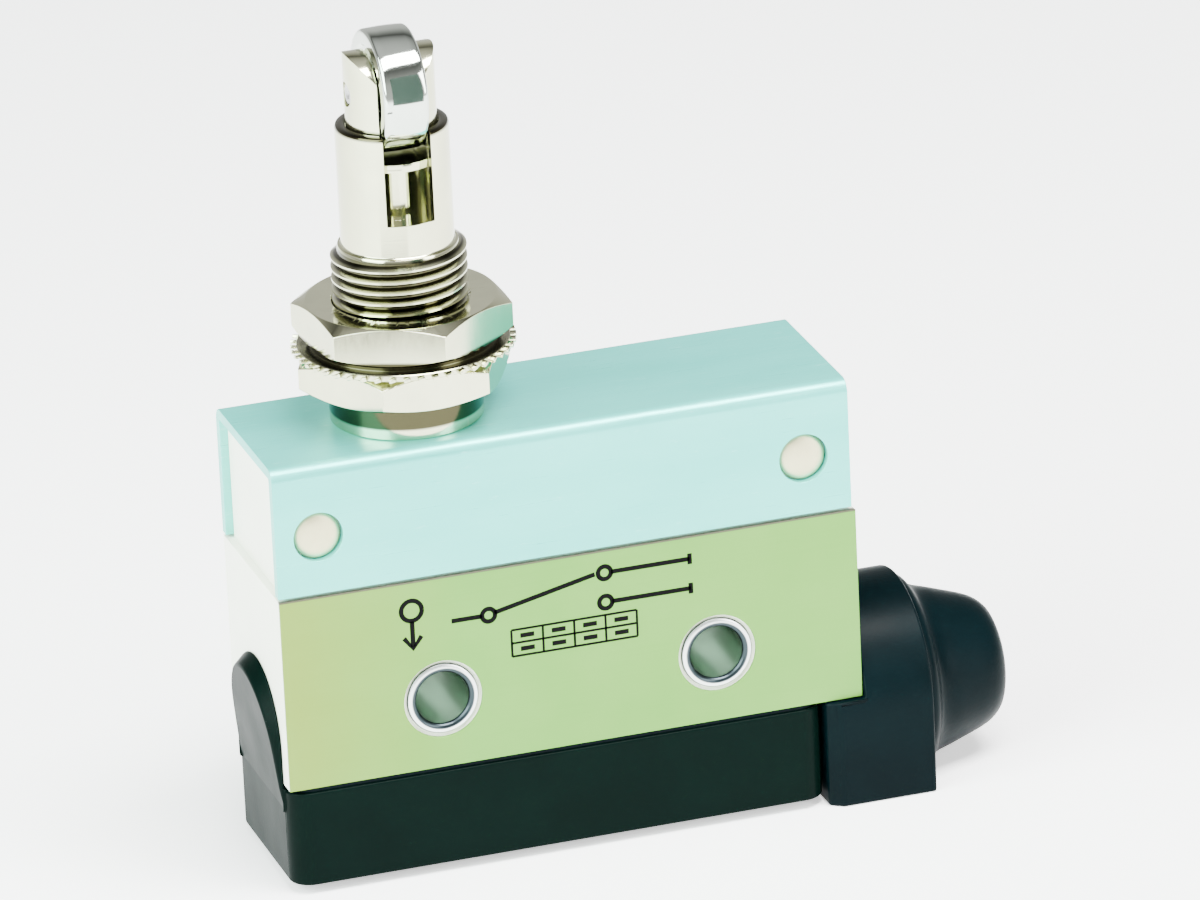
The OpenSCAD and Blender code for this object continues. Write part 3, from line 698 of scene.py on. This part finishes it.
def set_at_places(name, master, material, places):
    """Copies of master at ((x, y, z) in mm, turn about X) places, as one object."""
    mesh = bpy.data.meshes.new(name)
    mesh.from_pydata([[c * MM for c in at] for at, _ in places], [], [])
    turn = mesh.attributes.new("turn", "FLOAT_VECTOR", "POINT")
    for k, (_, angle) in enumerate(places):
        turn.data[k].vector = (angle, 0, 0)
    made = settle(attach(new_object(name, mesh), places_tree, Master=master, Material=material))
    bpy.data.objects.remove(master)
    return smooth(made)

# %% [markdown]
# ## Eyelets and rivets
# Each mounting hole is a steel tube whose end is rolled over into a lip. The lip is round on top and its
# outer edge bites into the plate, so its profile is an arc. A rivet's head is a low dome with a crisp rim.

# %% Eyelets
lip_y = high("mounting_eyelets").y
LIP_T, TUBE_T, LIP_SINK = 0.42, 0.5, 0.2


def lip_profile(sign):
    """The rolled lip at one end of the tube, outside to inside."""
    outer = arc(lip_r - LIP_T / 2, 0, LIP_T / 2, -90, 90, 6)
    inner = arc(hole_r + TUBE_T, -LIP_SINK, TUBE_T, 100, 180, 6)
    return [(r, sign * (lip_y - LIP_T / 2 + h)) for r, h in outer + inner]


wall = [(hole_r + TUBE_T, -lip_y + LIP_T), (hole_r + TUBE_T, lip_y - LIP_T)]
tube = lip_profile(1) + lip_profile(-1)[::-1] + wall
eyelet = turned("eyelet", tube, axis="Y", segments=96)
eyelets = set_at_places("eyelets", eyelet, eyelet_steel, [((s * hole_x, 0, 0), 0) for s in (-1, 1)])
dress(eyelets, eyelet_steel, "housing", "eyelet_steel", "mounting_eyelets")

# %% Channel rivets
pin_lo, pin_hi = low("channel_pins"), high("channel_pins")
rivet_r = (pin_hi.z - pin_lo.z) / 2
rivet_x = (pin_lo.x + rivet_r, pin_hi.x - rivet_r)
rivet_z = middle("channel_pins").z
SHANK_R, HEAD_H = 1.5, 0.8
dome = [(0, HEAD_H), (0.7, HEAD_H - 0.01), (1.3, HEAD_H - 0.06), (1.75, HEAD_H - 0.17)]
rim = [(rivet_r - 0.1, HEAD_H - 0.35), (rivet_r, HEAD_H - 0.5), (rivet_r, 0.02), (rivet_r - 0.05, 0)]
shank_end = pin_hi.y - HEAD_H
shank = [(SHANK_R, 0), (SHANK_R, -shank_end), (0, -shank_end)]
half_rivet = turned("half_rivet", dome + rim + shank, segments=64)
quarter_turn = math.pi / 2
rivets = set_at_places("rivets", half_rivet, rivet_metal, [
    ((x, s * shank_end, rivet_z), -s * quarter_turn) for x in rivet_x for s in (-1, 1)
])
dress(rivets, rivet_metal, "housing", "rivet_metal", "channel_pins")

# %% [markdown]
# ## A coil tree for thread and springs
# A screw thread and a spring are the same idea: a profile carried along a helix. The tree makes a spiral
# curve, keeps the profile upright with a Z-up normal and sweeps it. A spring's profile is a circle. The
# thread's is a ridge with a flat crest, and its base sinks a little into the core so that no gap shows.

# %% A node tree that sweeps a coil
def sweep(tree, path, profile, given):
    """Ends a tree with a profile carried along a path, its ends closed."""
    parts = {"Curve": path, "Profile Curve": profile, "Fill Caps": True}
    solid = add(tree, "GeometryNodeCurveToMesh", parts)
    return finish_tree(tree, solid.outputs["Mesh"], given)


def make_coil_tree(name, ridge):
    tree, given = new_tree(
        name, Radius="Float", Rise="Float", Turns="Float", Steps="Int",
        Crest="Float", Base="Float", Depth="Float", Material="Material",
    )
    spiral = add(tree, "GeometryNodeCurveSpiral", {
        "Resolution": given["Steps"],
        "Rotations": given["Turns"],
        "Start Radius": given["Radius"],
        "End Radius": given["Radius"],
        "Height": given["Rise"],
        "Reverse": True,
    })
    upright = add(tree, "GeometryNodeSetCurveNormal", {"Curve": spiral.outputs["Curve"]}, mode="Z_UP")
    if ridge:
        sizes = {"Bottom Width": given["Base"], "Top Width": given["Crest"], "Height": given["Depth"]}
        sizes["Offset"] = 0
        shape = add(tree, "GeometryNodeCurvePrimitiveQuadrilateral", sizes, mode="TRAPEZOID")
        turned_out = {"Geometry": shape.outputs["Curve"], "Rotation": (0, 0, -quarter_turn)}
        profile = add(tree, "GeometryNodeTransform", turned_out).outputs["Geometry"]
    else:
        wire = {"Resolution": 16, "Radius": given["Depth"]}
        profile = add(tree, "GeometryNodeCurvePrimitiveCircle", wire).outputs["Curve"]
    return sweep(tree, upright.outputs["Curve"], profile, given)


ridge_tree = make_coil_tree("thread_ridge", ridge=True)
wire_tree = make_coil_tree("spring_wire", ridge=False)
print("coil trees:", ridge_tree.name, "and", wire_tree.name)


def coil(name, tree, material, z0, radius, rise, turns, steps, depth, **sizes):
    """A coil on the head's axis that starts at height z0; sizes in mm."""
    made = grown(
        name, tree, Radius=radius * MM, Rise=rise * MM, Turns=float(turns), Steps=steps, Depth=depth * MM,
        Material=material, **{k: v * MM for k, v in sizes.items()},
    )
    made.data.transform(Matrix.Translation(Vector((head_x, 0, z0)) * MM) @ Matrix.Rotation(math.pi, 4, "Z"))
    return made

# %% [markdown]
# ## Guide bush
# The bush is turned from one bar: a collar, a fine thread of 12 mm, and a smooth sleeve with a slot sawn
# across it for the roller. The core is a lathe profile at the thread's root, the slot is cut from it as on
# the real part, and the ridge of the thread is swept around it.

# %% Guide bush: core, sleeve and slot
def on_head(name, profile):
    """A part turned round the head's axis."""
    return turned(name, profile, centre=(head_x, 0, 0), segments=144)


bush_lo, bush_hi = low("guide_bush"), high("guide_bush")
collar_r = (bush_hi.x - bush_lo.x) / 2
collar_bottom = high("top_channel").z
collar_top = low("lock_nut_lower").z
PITCH = 1.0
THREAD_DEPTH = 0.61 * PITCH
root_r = thread_r - THREAD_DEPTH
TAIL_R, TAIL_BORE_R = 5.0, 4.15
ROOF_R, ROOF_T = 5.6, 2.9
ROD_R, ROD_FROM, SPRING_R, SPRING_FROM = 1.95, 21.5, 4.7, 27.5
SLEEVE_R, BORE_R, RIM = 5.0, 4.05, 0.35
EDGE, BREAK = 0.1, 0.15

outside = [
    (TAIL_BORE_R, bush_lo.z), (TAIL_R, bush_lo.z), (TAIL_R, collar_bottom - ROOF_T),
    (ROOF_R, collar_bottom - ROOF_T), (ROOF_R, collar_bottom), (collar_r - EDGE, collar_bottom),
    (collar_r, collar_bottom + EDGE), (collar_r, collar_top - 0.3), (collar_r - 0.3, collar_top),
    (root_r, collar_top), (root_r, thread_top - 0.5), (root_r - EDGE, thread_top),
    (SLEEVE_R + 0.12, thread_top), (SLEEVE_R, thread_top + 0.12), (SLEEVE_R, bush_hi.z - RIM),
    (SLEEVE_R - EDGE, bush_hi.z - EDGE), (SLEEVE_R - RIM, bush_hi.z),
]
inside = [
    (BORE_R + BREAK, bush_hi.z), (BORE_R, bush_hi.z - BREAK), (BORE_R, thread_top), (SPRING_R, thread_top),
    (SPRING_R, SPRING_FROM), (ROD_R, SPRING_FROM), (ROD_R, ROD_FROM), (TAIL_BORE_R, ROD_FROM),
]
core = on_head("bush_core", outside + inside)

SLOT_HALF, SLOT_BOTTOM, ACROSS = 2.15, 43.0, 8
slot = rectangle(head_x - SLOT_HALF, head_x + SLOT_HALF, ACROSS)
cut(core, prism("slot_cutter", slot, SLOT_BOTTOM, bush_hi.z + 2))
rounded(core, 0.10, segments=2, angle=42)

# %% Guide bush: thread
climb = thread_top - collar_top - 0.35
ridge = coil(
    "bush_ridge", ridge_tree, nickel_bush,
    z0=collar_top - 0.1, radius=thread_r - THREAD_DEPTH / 2 - 0.02, rise=climb, turns=climb / PITCH,
    steps=72, depth=THREAD_DEPTH + 0.04, Crest=0.16, Base=0.92,
)
bush = joined("guide_bush_turned", core, smooth(ridge, angle=30))
dress(bush, nickel_bush, "housing", "nickel_plate", "guide_bush")

# %% [markdown]
# ## Lock nuts
# A lock nut is a slice of hexagonal bar. Its corners are turned off at both faces, which leaves the curved
# lines that the eye expects on a nut: they appear by themselves where a cone meets six flats, so the nut is
# made as the overlap of a prism and a turned shape. The bore has a countersink at each face.

# %% Lock nuts
NUT_FLATS = 17.0
CORNER_DROP, COUNTERSINK, THREAD_PLAY = 0.85, 0.55, 0.15
flat_r = NUT_FLATS / 2
corner_r = flat_r / math.cos(math.pi / 6)


def lock_nut(name, node, turn):
    z0, z1 = low(node).z, high(node).z
    angles = [math.radians(turn + 60 * k) for k in range(6)]
    nut = prism(name, [(head_x + corner_r * math.cos(a), corner_r * math.sin(a)) for a in angles], z0, z1)
    face_r, blank_r = flat_r - 0.1, corner_r + 0.3
    blank = [
        (0, z0), (face_r, z0), (blank_r, z0 + CORNER_DROP),
        (blank_r, z1 - CORNER_DROP), (face_r, z1), (0, z1),
    ]
    cut(nut, on_head("blank", blank), "INTERSECT")
    narrow, wide = thread_r - 0.5, thread_r + THREAD_PLAY
    hole = [
        (0, z0 - 1), (wide + 1, z0 - 1), (wide, z0), (narrow, z0 + COUNTERSINK),
        (narrow, z1 - COUNTERSINK), (wide, z1), (wide + 1, z1 + 1), (0, z1 + 1),
    ]
    cut(nut, on_head("hole", hole))
    return rounded(nut, 0.09, segments=2, angle=20)


lower_nut = lock_nut("nut_lower", "lock_nut_lower", 2)
dress(lower_nut, nickel_milled, "housing", "nickel_plate", "lock_nut_lower")
upper_nut = lock_nut("nut_upper", "lock_nut_upper", 36)
dress(upper_nut, nickel_nut, "lock_nut_upper", "nickel_plate", "lock_nut_upper")

# %% [markdown]
# ## Lock washer
# The washer between the nuts has a ring of small teeth on its rim that bite when the nut is tightened.
# The ring is turned, and a node tree stands one tooth on each point of a circle, every one leaning a
# little, as pressed teeth do.

# %% A node tree for the washer's teeth
def make_teeth_tree():
    tree, given = new_tree(
        "washer_teeth", Count="Int", Radius="Float", Lean="Float", Tooth="Vector", Material="Material")
    ring = add(tree, "GeometryNodeMeshCircle", {"Vertices": given["Count"], "Radius": given["Radius"]})
    tooth = add(tree, "GeometryNodeMeshCube", {"Size": given["Tooth"]})
    index = add(tree, "GeometryNodeInputIndex").outputs[0]
    step = add(tree, "ShaderNodeMath", {0: 2 * math.pi, 1: given["Count"]}, operation="DIVIDE").outputs[0]
    around = add(tree, "ShaderNodeMath", {0: index, 1: step}, operation="MULTIPLY").outputs[0]
    turn = add(tree, "ShaderNodeCombineXYZ", {"X": given["Lean"], "Z": around})
    return set_on_points(tree, ring.outputs["Mesh"], tooth.outputs["Mesh"], turn.outputs[0], given)


washer_lo, washer_hi = low("lock_washer"), high("lock_washer")
washer_r = (washer_hi.x - washer_lo.x) / 2
TOOTH, TEETH, TOOTH_LEAN = (0.75, 0.62, 0.36), 48, 0.32
teeth = grown(
    "washer_teeth", make_teeth_tree(), Count=TEETH, Radius=(washer_r - TOOTH[0] / 2 - 0.02) * MM,
    Tooth=[c * MM for c in TOOTH], Lean=TOOTH_LEAN, Material=nickel_turned,
)
RIM_T, HUB_R, BEND = 0.6, 8.3, 0.08
rim_top = washer_lo.z + RIM_T
teeth.data.transform(Matrix.Translation(Vector((head_x, 0, washer_lo.z + RIM_T / 2)) * MM))
disc_r, hole_edge = washer_r - 0.55, thread_r + THREAD_PLAY
disc = on_head("washer_disc", [
    (hole_edge, washer_lo.z), (disc_r - BEND, washer_lo.z), (disc_r, washer_lo.z + BEND),
    (disc_r, rim_top - BEND), (disc_r - BEND, rim_top), (HUB_R, rim_top), (HUB_R, washer_hi.z - 0.06),
    (HUB_R - 0.06, washer_hi.z), (hole_edge, washer_hi.z),
])
washer = joined("toothed_washer", smooth(disc), rounded(teeth, 0.07, segments=2))
dress(washer, nickel_washer, "lock_washer", "nickel_plate", "lock_washer")

# %% [markdown]
# ## Plunger, roller and pin
# The plunger keeps its CAD shape, with broken edges. The roller is turned: a shallow groove near the rim
# leaves the web, and the tread has a slight crown so that it rolls on its middle. The pin's ends are
# riveted over, with the small dimple that the riveting punch leaves.

# %% Plunger, roller and roller pin
from_cad("plunger_fork", "plunger", nickel_turned, "nickel_plate", 0.14, body="plunger")

roller_lo, roller_hi = low("roller"), high("roller")
tread_r = (roller_hi.z - roller_lo.z) / 2
half_tread = (roller_hi.x - roller_lo.x) / 2
PIN_R, ROUND, CROWN, CROWN_HALF = 1.1, 0.38, 0.05, 1.5
WEB_FROM, WEB_TO, WEB_DEPTH = 1.9, 4.15, 0.25
web = [
    (PIN_R + 0.05, half_tread), (WEB_FROM, half_tread), (WEB_FROM + 0.2, half_tread - WEB_DEPTH),
    (WEB_TO - WEB_DEPTH, half_tread - WEB_DEPTH), (WEB_TO, half_tread),
]
corner = arc(tread_r - ROUND - CROWN, half_tread - ROUND, ROUND, 90, 8, 5)
crown = [(tread_r - CROWN * share**2, CROWN_HALF * share) for share in (0.75, 0.5, 0.25)]
upper_half = web + corner + crown
profile = upper_half + [(tread_r, 0)] + [(r, -h) for r, h in upper_half[::-1]]
wheel = turned("roller_wheel", profile, centre=(head_x, 0, roller_z), axis="X", segments=144)
dress(smooth(wheel), roller_nickel, "roller", "nickel_plate", "roller")

pin_end = high("roller_pin").x - head_x
DIMPLE_R, DIMPLE, PIN_EDGE = 0.5, 0.18, 0.22
half_pin = [
    (0, pin_end - DIMPLE), (DIMPLE_R - 0.2, pin_end - DIMPLE + 0.04), (DIMPLE_R, pin_end),
    (0.85, pin_end), (PIN_R, pin_end - PIN_EDGE),
]
pin_profile = half_pin + [(r, -h) for r, h in half_pin[::-1]]
pin = turned("riveted_pin", pin_profile, centre=(head_x, 0, roller_z), axis="X", segments=48)
dress(smooth(pin), spring_wire, "plunger", "spring_steel", "roller_pin")

# %% [markdown]
# ## Springs
# Both springs sit inside the bush. They are coils of round wire at their CAD length; in the real switch
# each shortens as the plunger goes down, toward the end that it stands on.


def spring(name, node, body, turns, wire_r, radius):
    """A coil in a CAD spring's place."""
    lo, hi = low(node), high(node)
    height = hi.z - lo.z
    made = coil(name, wire_tree, spring_wire, lo.z + wire_r, radius, height - 2 * wire_r, turns, 40, wire_r)
    dress(smooth(made, angle=60), spring_wire, body, "spring_steel", node)
    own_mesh(made)


spring("return_coil", "return_spring", "housing", 7, 0.35, 4.1)
spring("overtravel_coil", "overtravel_spring", "plunger", 8, 0.3, 2.3)

# %% [markdown]
# ## Pieces inside
# The parts inside the case are small and mostly flat. They keep their CAD shapes, with edges broken as
# blanking and moulding leave them. A sixth value in a row is the body of a piece that moves.

# %% Inner pieces
INNER = (
    ("clip_ring", "bush_clip", clip_black, "black_clip", 0.08),
    ("seal_ring", "rod_seal", black_rubber, "black_rubber", 0.08),
    ("rod", "push_rod", zinc_plate, "eyelet_steel", 0.10, "push_rod"),
    ("button_pin", "switch_button", button_red, "button_red", 0.10, "switch_button"),
    ("blade", "snap_blade", strip_brass, "contact_brass", 0.05, "snap_blade"),
    ("blade_contact", "moving_contact", contact_silver, "contact_silver", 0.10, "snap_blade"),
    ("seat_contacts", "fixed_contacts", contact_silver, "contact_silver", 0.10),
    ("strip_common", "common_terminal", strip_brass, "contact_brass", 0.08),
    ("strip_open", "open_terminal", strip_brass, "contact_brass", 0.08),
    ("strip_closed", "closed_terminal", strip_brass, "contact_brass", 0.08),
    ("clamp_washers", "screw_washers", zinc_plate, "screw_steel", 0.08),
    ("clamp_screws", "terminal_screws", zinc_plate, "screw_steel", 0.12),
    ("tray_screw", "cover_screw", zinc_plate, "screw_steel", 0.12),
)
for row in INNER:
    from_cad(*row, segments=2)

# %% [markdown]
# ## Marks on the nameplate
# The plate carries printed marks and no words: a contact diagram, an arrow for the way that the plunger
# moves, and a small table of ruled cells. Ink is a thin raised layer, so each stroke is a flat ribbon swept
# along a curve by a node tree.

# %% A node tree that inks a line
def make_ink_tree():
    tree, given = new_tree("ink_ribbon", Width="Float", Thickness="Float", Material="Material")
    facing = {"Curve": given["Geometry"], "Normal": (0, -1, 0)}
    path = add(tree, "GeometryNodeSetCurveNormal", facing, mode="FREE")
    flat = {"Width": given["Thickness"], "Height": given["Width"]}
    ribbon = add(tree, "GeometryNodeCurvePrimitiveQuadrilateral", flat)
    return sweep(tree, path.outputs["Curve"], ribbon.outputs["Curve"], given)


ink_tree = make_ink_tree()
INK_T = 0.03
ink_y = low("nameplate").y - 0.005


def inked(name, strokes, width):
    """Flat lines on the plate; each stroke is a list of (x, z) points in mm."""
    curve = bpy.data.curves.new(name, "CURVE")
    curve.dimensions = "3D"
    for stroke in strokes:
        line = curve.splines.new("POLY")
        line.points.add(len(stroke) - 1)
        for point, (x, z) in zip(line.points, stroke):
            point.co = (x * MM, ink_y * MM, z * MM, 1)
    sizes = {"Width": width * MM, "Thickness": INK_T * MM}
    source = attach(new_object(name + "_lines", curve), ink_tree, Material=ink, **sizes)
    mesh = evaluated(source)
    bpy.data.objects.remove(source)
    made = new_object(name, mesh)
    return dress(made, ink, "housing", "black_plastic")


def circle(x, z, radius):
    return arc(x, z, radius, 0, 360, 24)


# %% Draw the marks
DOT_R, TICK = 0.6, 0.5
TOP_ROW, LOW_ROW, BLADE_ROW = 9.4, 6.6, 7.2
LEAD_FROM, BLADE_X, FAR_X, LEAD_TO = -11.6, -8.2, 2.6, 10.5
joints = ((BLADE_X, BLADE_ROW), (FAR_X, TOP_ROW), (FAR_X, LOW_ROW))
contact_marks = [circle(x, z, DOT_R) for x, z in joints]
blade_mark = [
    [(LEAD_FROM, BLADE_ROW), (BLADE_X - DOT_R, BLADE_ROW)],
    [(BLADE_X + 0.55, BLADE_ROW + 0.15), (FAR_X - 0.9, TOP_ROW)],
]
leads = [[(FAR_X + DOT_R, row), (LEAD_TO, row)] for row in (TOP_ROW, LOW_ROW)]
ends = [[(LEAD_TO, row - TICK), (LEAD_TO, row + TICK)] for row in (TOP_ROW, LOW_ROW)]

SIGN_X, SIGN_Z, ARROW_HALF = -15.2, 7.6, 0.8
barb_z = SIGN_Z - 1.3
arrow = [
    [(SIGN_X, SIGN_Z + 0.2), (SIGN_X, SIGN_Z - 2.2)],
    [(SIGN_X - ARROW_HALF, barb_z), (SIGN_X, SIGN_Z - 2.4), (SIGN_X + ARROW_HALF, barb_z)],
]
roller_sign = [circle(SIGN_X, SIGN_Z + 1.2, 0.95)]

TABLE_X, TABLE_Z, CELL_W, CELL_H = -6.2, 2.9, 2.9, 1.25
columns = [TABLE_X + k * CELL_W for k in range(5)]
rows = [TABLE_Z + k * CELL_H for k in range(3)]
table = [[(columns[0], z), (columns[-1], z)] for z in rows]
table += [[(x, rows[0]), (x, rows[-1])] for x in columns]
dashes = [
    [(x + 0.28 * CELL_W, z + CELL_H / 2), (x + 0.72 * CELL_W, z + CELL_H / 2)]
    for x in columns[:-1] for z in rows[:-1]
]
inked("ink_heavy", contact_marks + blade_mark + leads + ends + arrow + roller_sign + dashes, 0.42)
inked("ink_fine", table, 0.20)

# %% [markdown]
# ## Floor and light
# A pale floor that glows a little, and soft light from large panels. Polished metal shows what is around
# it, and an upright shiny cylinder that is seen from above mirrors only the floor. So a dark card in the
# shape of an arc lies on the floor in front, as is done in a studio, and darkens the grooves of the
# thread. A second card stands upright further off and is mirrored by the roller. Both are set to be met by
# reflections alone, so no view shows the cards themselves.

# %% Floor and cards
def flat_panel(name, corners, colour, glow=0.0):
    """One flat face through the corners (m), lit from within when glow is above 0."""
    mesh = bpy.data.meshes.new(name)
    mesh.from_pydata(corners, [], [list(range(len(corners)))])
    made = new_object(name, mesh)
    skin = Finish(name, colour, 0.0, 0.8)
    skin.set("Emission Color", (1, 1, 1, 1))
    skin.set("Emission Strength", glow)
    made.data.materials.append(skin.material)
    made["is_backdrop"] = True
    return made


def mirror_card(name, corners, colour):
    """A card that only reflections meet."""
    card = flat_panel(name, corners, colour)
    card.visible_camera = False
    card.visible_diffuse = False
    card.visible_shadow = False


def from_head(distance, angle, z):
    """A point at a distance (m) from the head's axis, at an angle from straight ahead."""
    a = math.radians(angle)
    return (head_x * MM + distance * math.sin(a), -distance * math.cos(a), z)


floor_z = cad_box[0].z
FLOOR = 3.0
square = [(x, y, floor_z) for x, y in rectangle(-FLOOR, FLOOR, FLOOR)]
flat_panel("floor", square, (0.94, 0.94, 0.94), glow=0.8)

foot = floor_z + 0.5 * MM
CARD_NEAR, CARD_FAR = 0.136, 0.156
CARD_FROM, CARD_TO, CARD_STEPS = -50, 4, 18
swing = [CARD_FROM + (CARD_TO - CARD_FROM) * k / CARD_STEPS for k in range(CARD_STEPS + 1)]
near_edge = [from_head(CARD_NEAR, a, foot) for a in swing]
far_edge = [from_head(CARD_FAR, a, foot) for a in reversed(swing)]
mirror_card("thread_card", near_edge + far_edge, (0.012, 0.009, 0.004))

WALL_AWAY, WALL_TOP = 0.30, 0.26
WALL_FROM, WALL_TO = 6, 29
upright = [(WALL_FROM, foot), (WALL_TO, foot), (WALL_TO, WALL_TOP), (WALL_FROM, WALL_TOP)]
mirror_card("roller_card", [from_head(WALL_AWAY, a, z) for a, z in upright], (0.03, 0.055, 0.045))
print("floor at z = %.2f mm, with 2 cards" % (floor_z / MM))

# %% Lights
AIM = Vector((0, 0, 15 * MM))


def panel(name, direction, distance, size, power, tint=(1, 1, 1)):
    """A soft rectangular light that looks at the object from a direction."""
    light = bpy.data.lights.new(name, "AREA")
    light.shape = "RECTANGLE"
    light.size, light.size_y = size
    light.energy = power
    light.color = tint
    way = Vector(direction).normalized()
    facing = way.to_track_quat("Z", "Y").to_matrix().to_4x4()
    new_object(name, light).matrix_world = Matrix.Translation(AIM + way * distance) @ facing
    print("%-16s %4.0f W at %.2f m" % (name, power, distance))


panel("left_panel", (-1.0, -0.45, 0.60), 0.60, (0.45, 0.50), 16, tint=(0.86, 1.0, 0.95))
panel("right_panel", (0.80, -0.90, 0.45), 0.70, (0.25, 0.45), 6)
panel("front_top_panel", (0.15, -0.35, 0.90), 0.65, (0.50, 0.22), 20)


def make_world():
    """Pale surroundings near the horizon and a dark ceiling."""
    world = bpy.data.worlds.new("studio")
    bpy.context.scene.world = world
    world.use_nodes = True
    tree = world.node_tree
    where = add(tree, "ShaderNodeTexCoord").outputs["Generated"]
    height = add(tree, "ShaderNodeSeparateXYZ", {0: where}).outputs["Z"]
    ramp = add(tree, "ShaderNodeValToRGB", {"Fac": height})
    for position, level in ((0.0, 1.0), (0.42, 0.85), (0.75, 0.12)):
        stop = ramp.color_ramp.elements.new(position)
        stop.color = (level, level, level * 0.98, 1)
    ramp.color_ramp.elements.remove(ramp.color_ramp.elements[0])
    sky = tree.nodes["Background"]
    fill(tree, sky.inputs["Color"], ramp.outputs["Color"])
    fill(tree, sky.inputs["Strength"], 1.0)


make_world()

# %% [markdown]
# ## Measure and finish
# The dressed model must fill the same box as the CAD model. Both boxes are written down to be compared.

# %% Write the sizes and finish
visual_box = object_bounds()
for label, box in (("CAD", cad_box), ("dressed", visual_box)):
    print(label, "model from", [round(c / MM, 2) for c in box[0]], "to", [round(c / MM, 2) for c in box[1]])
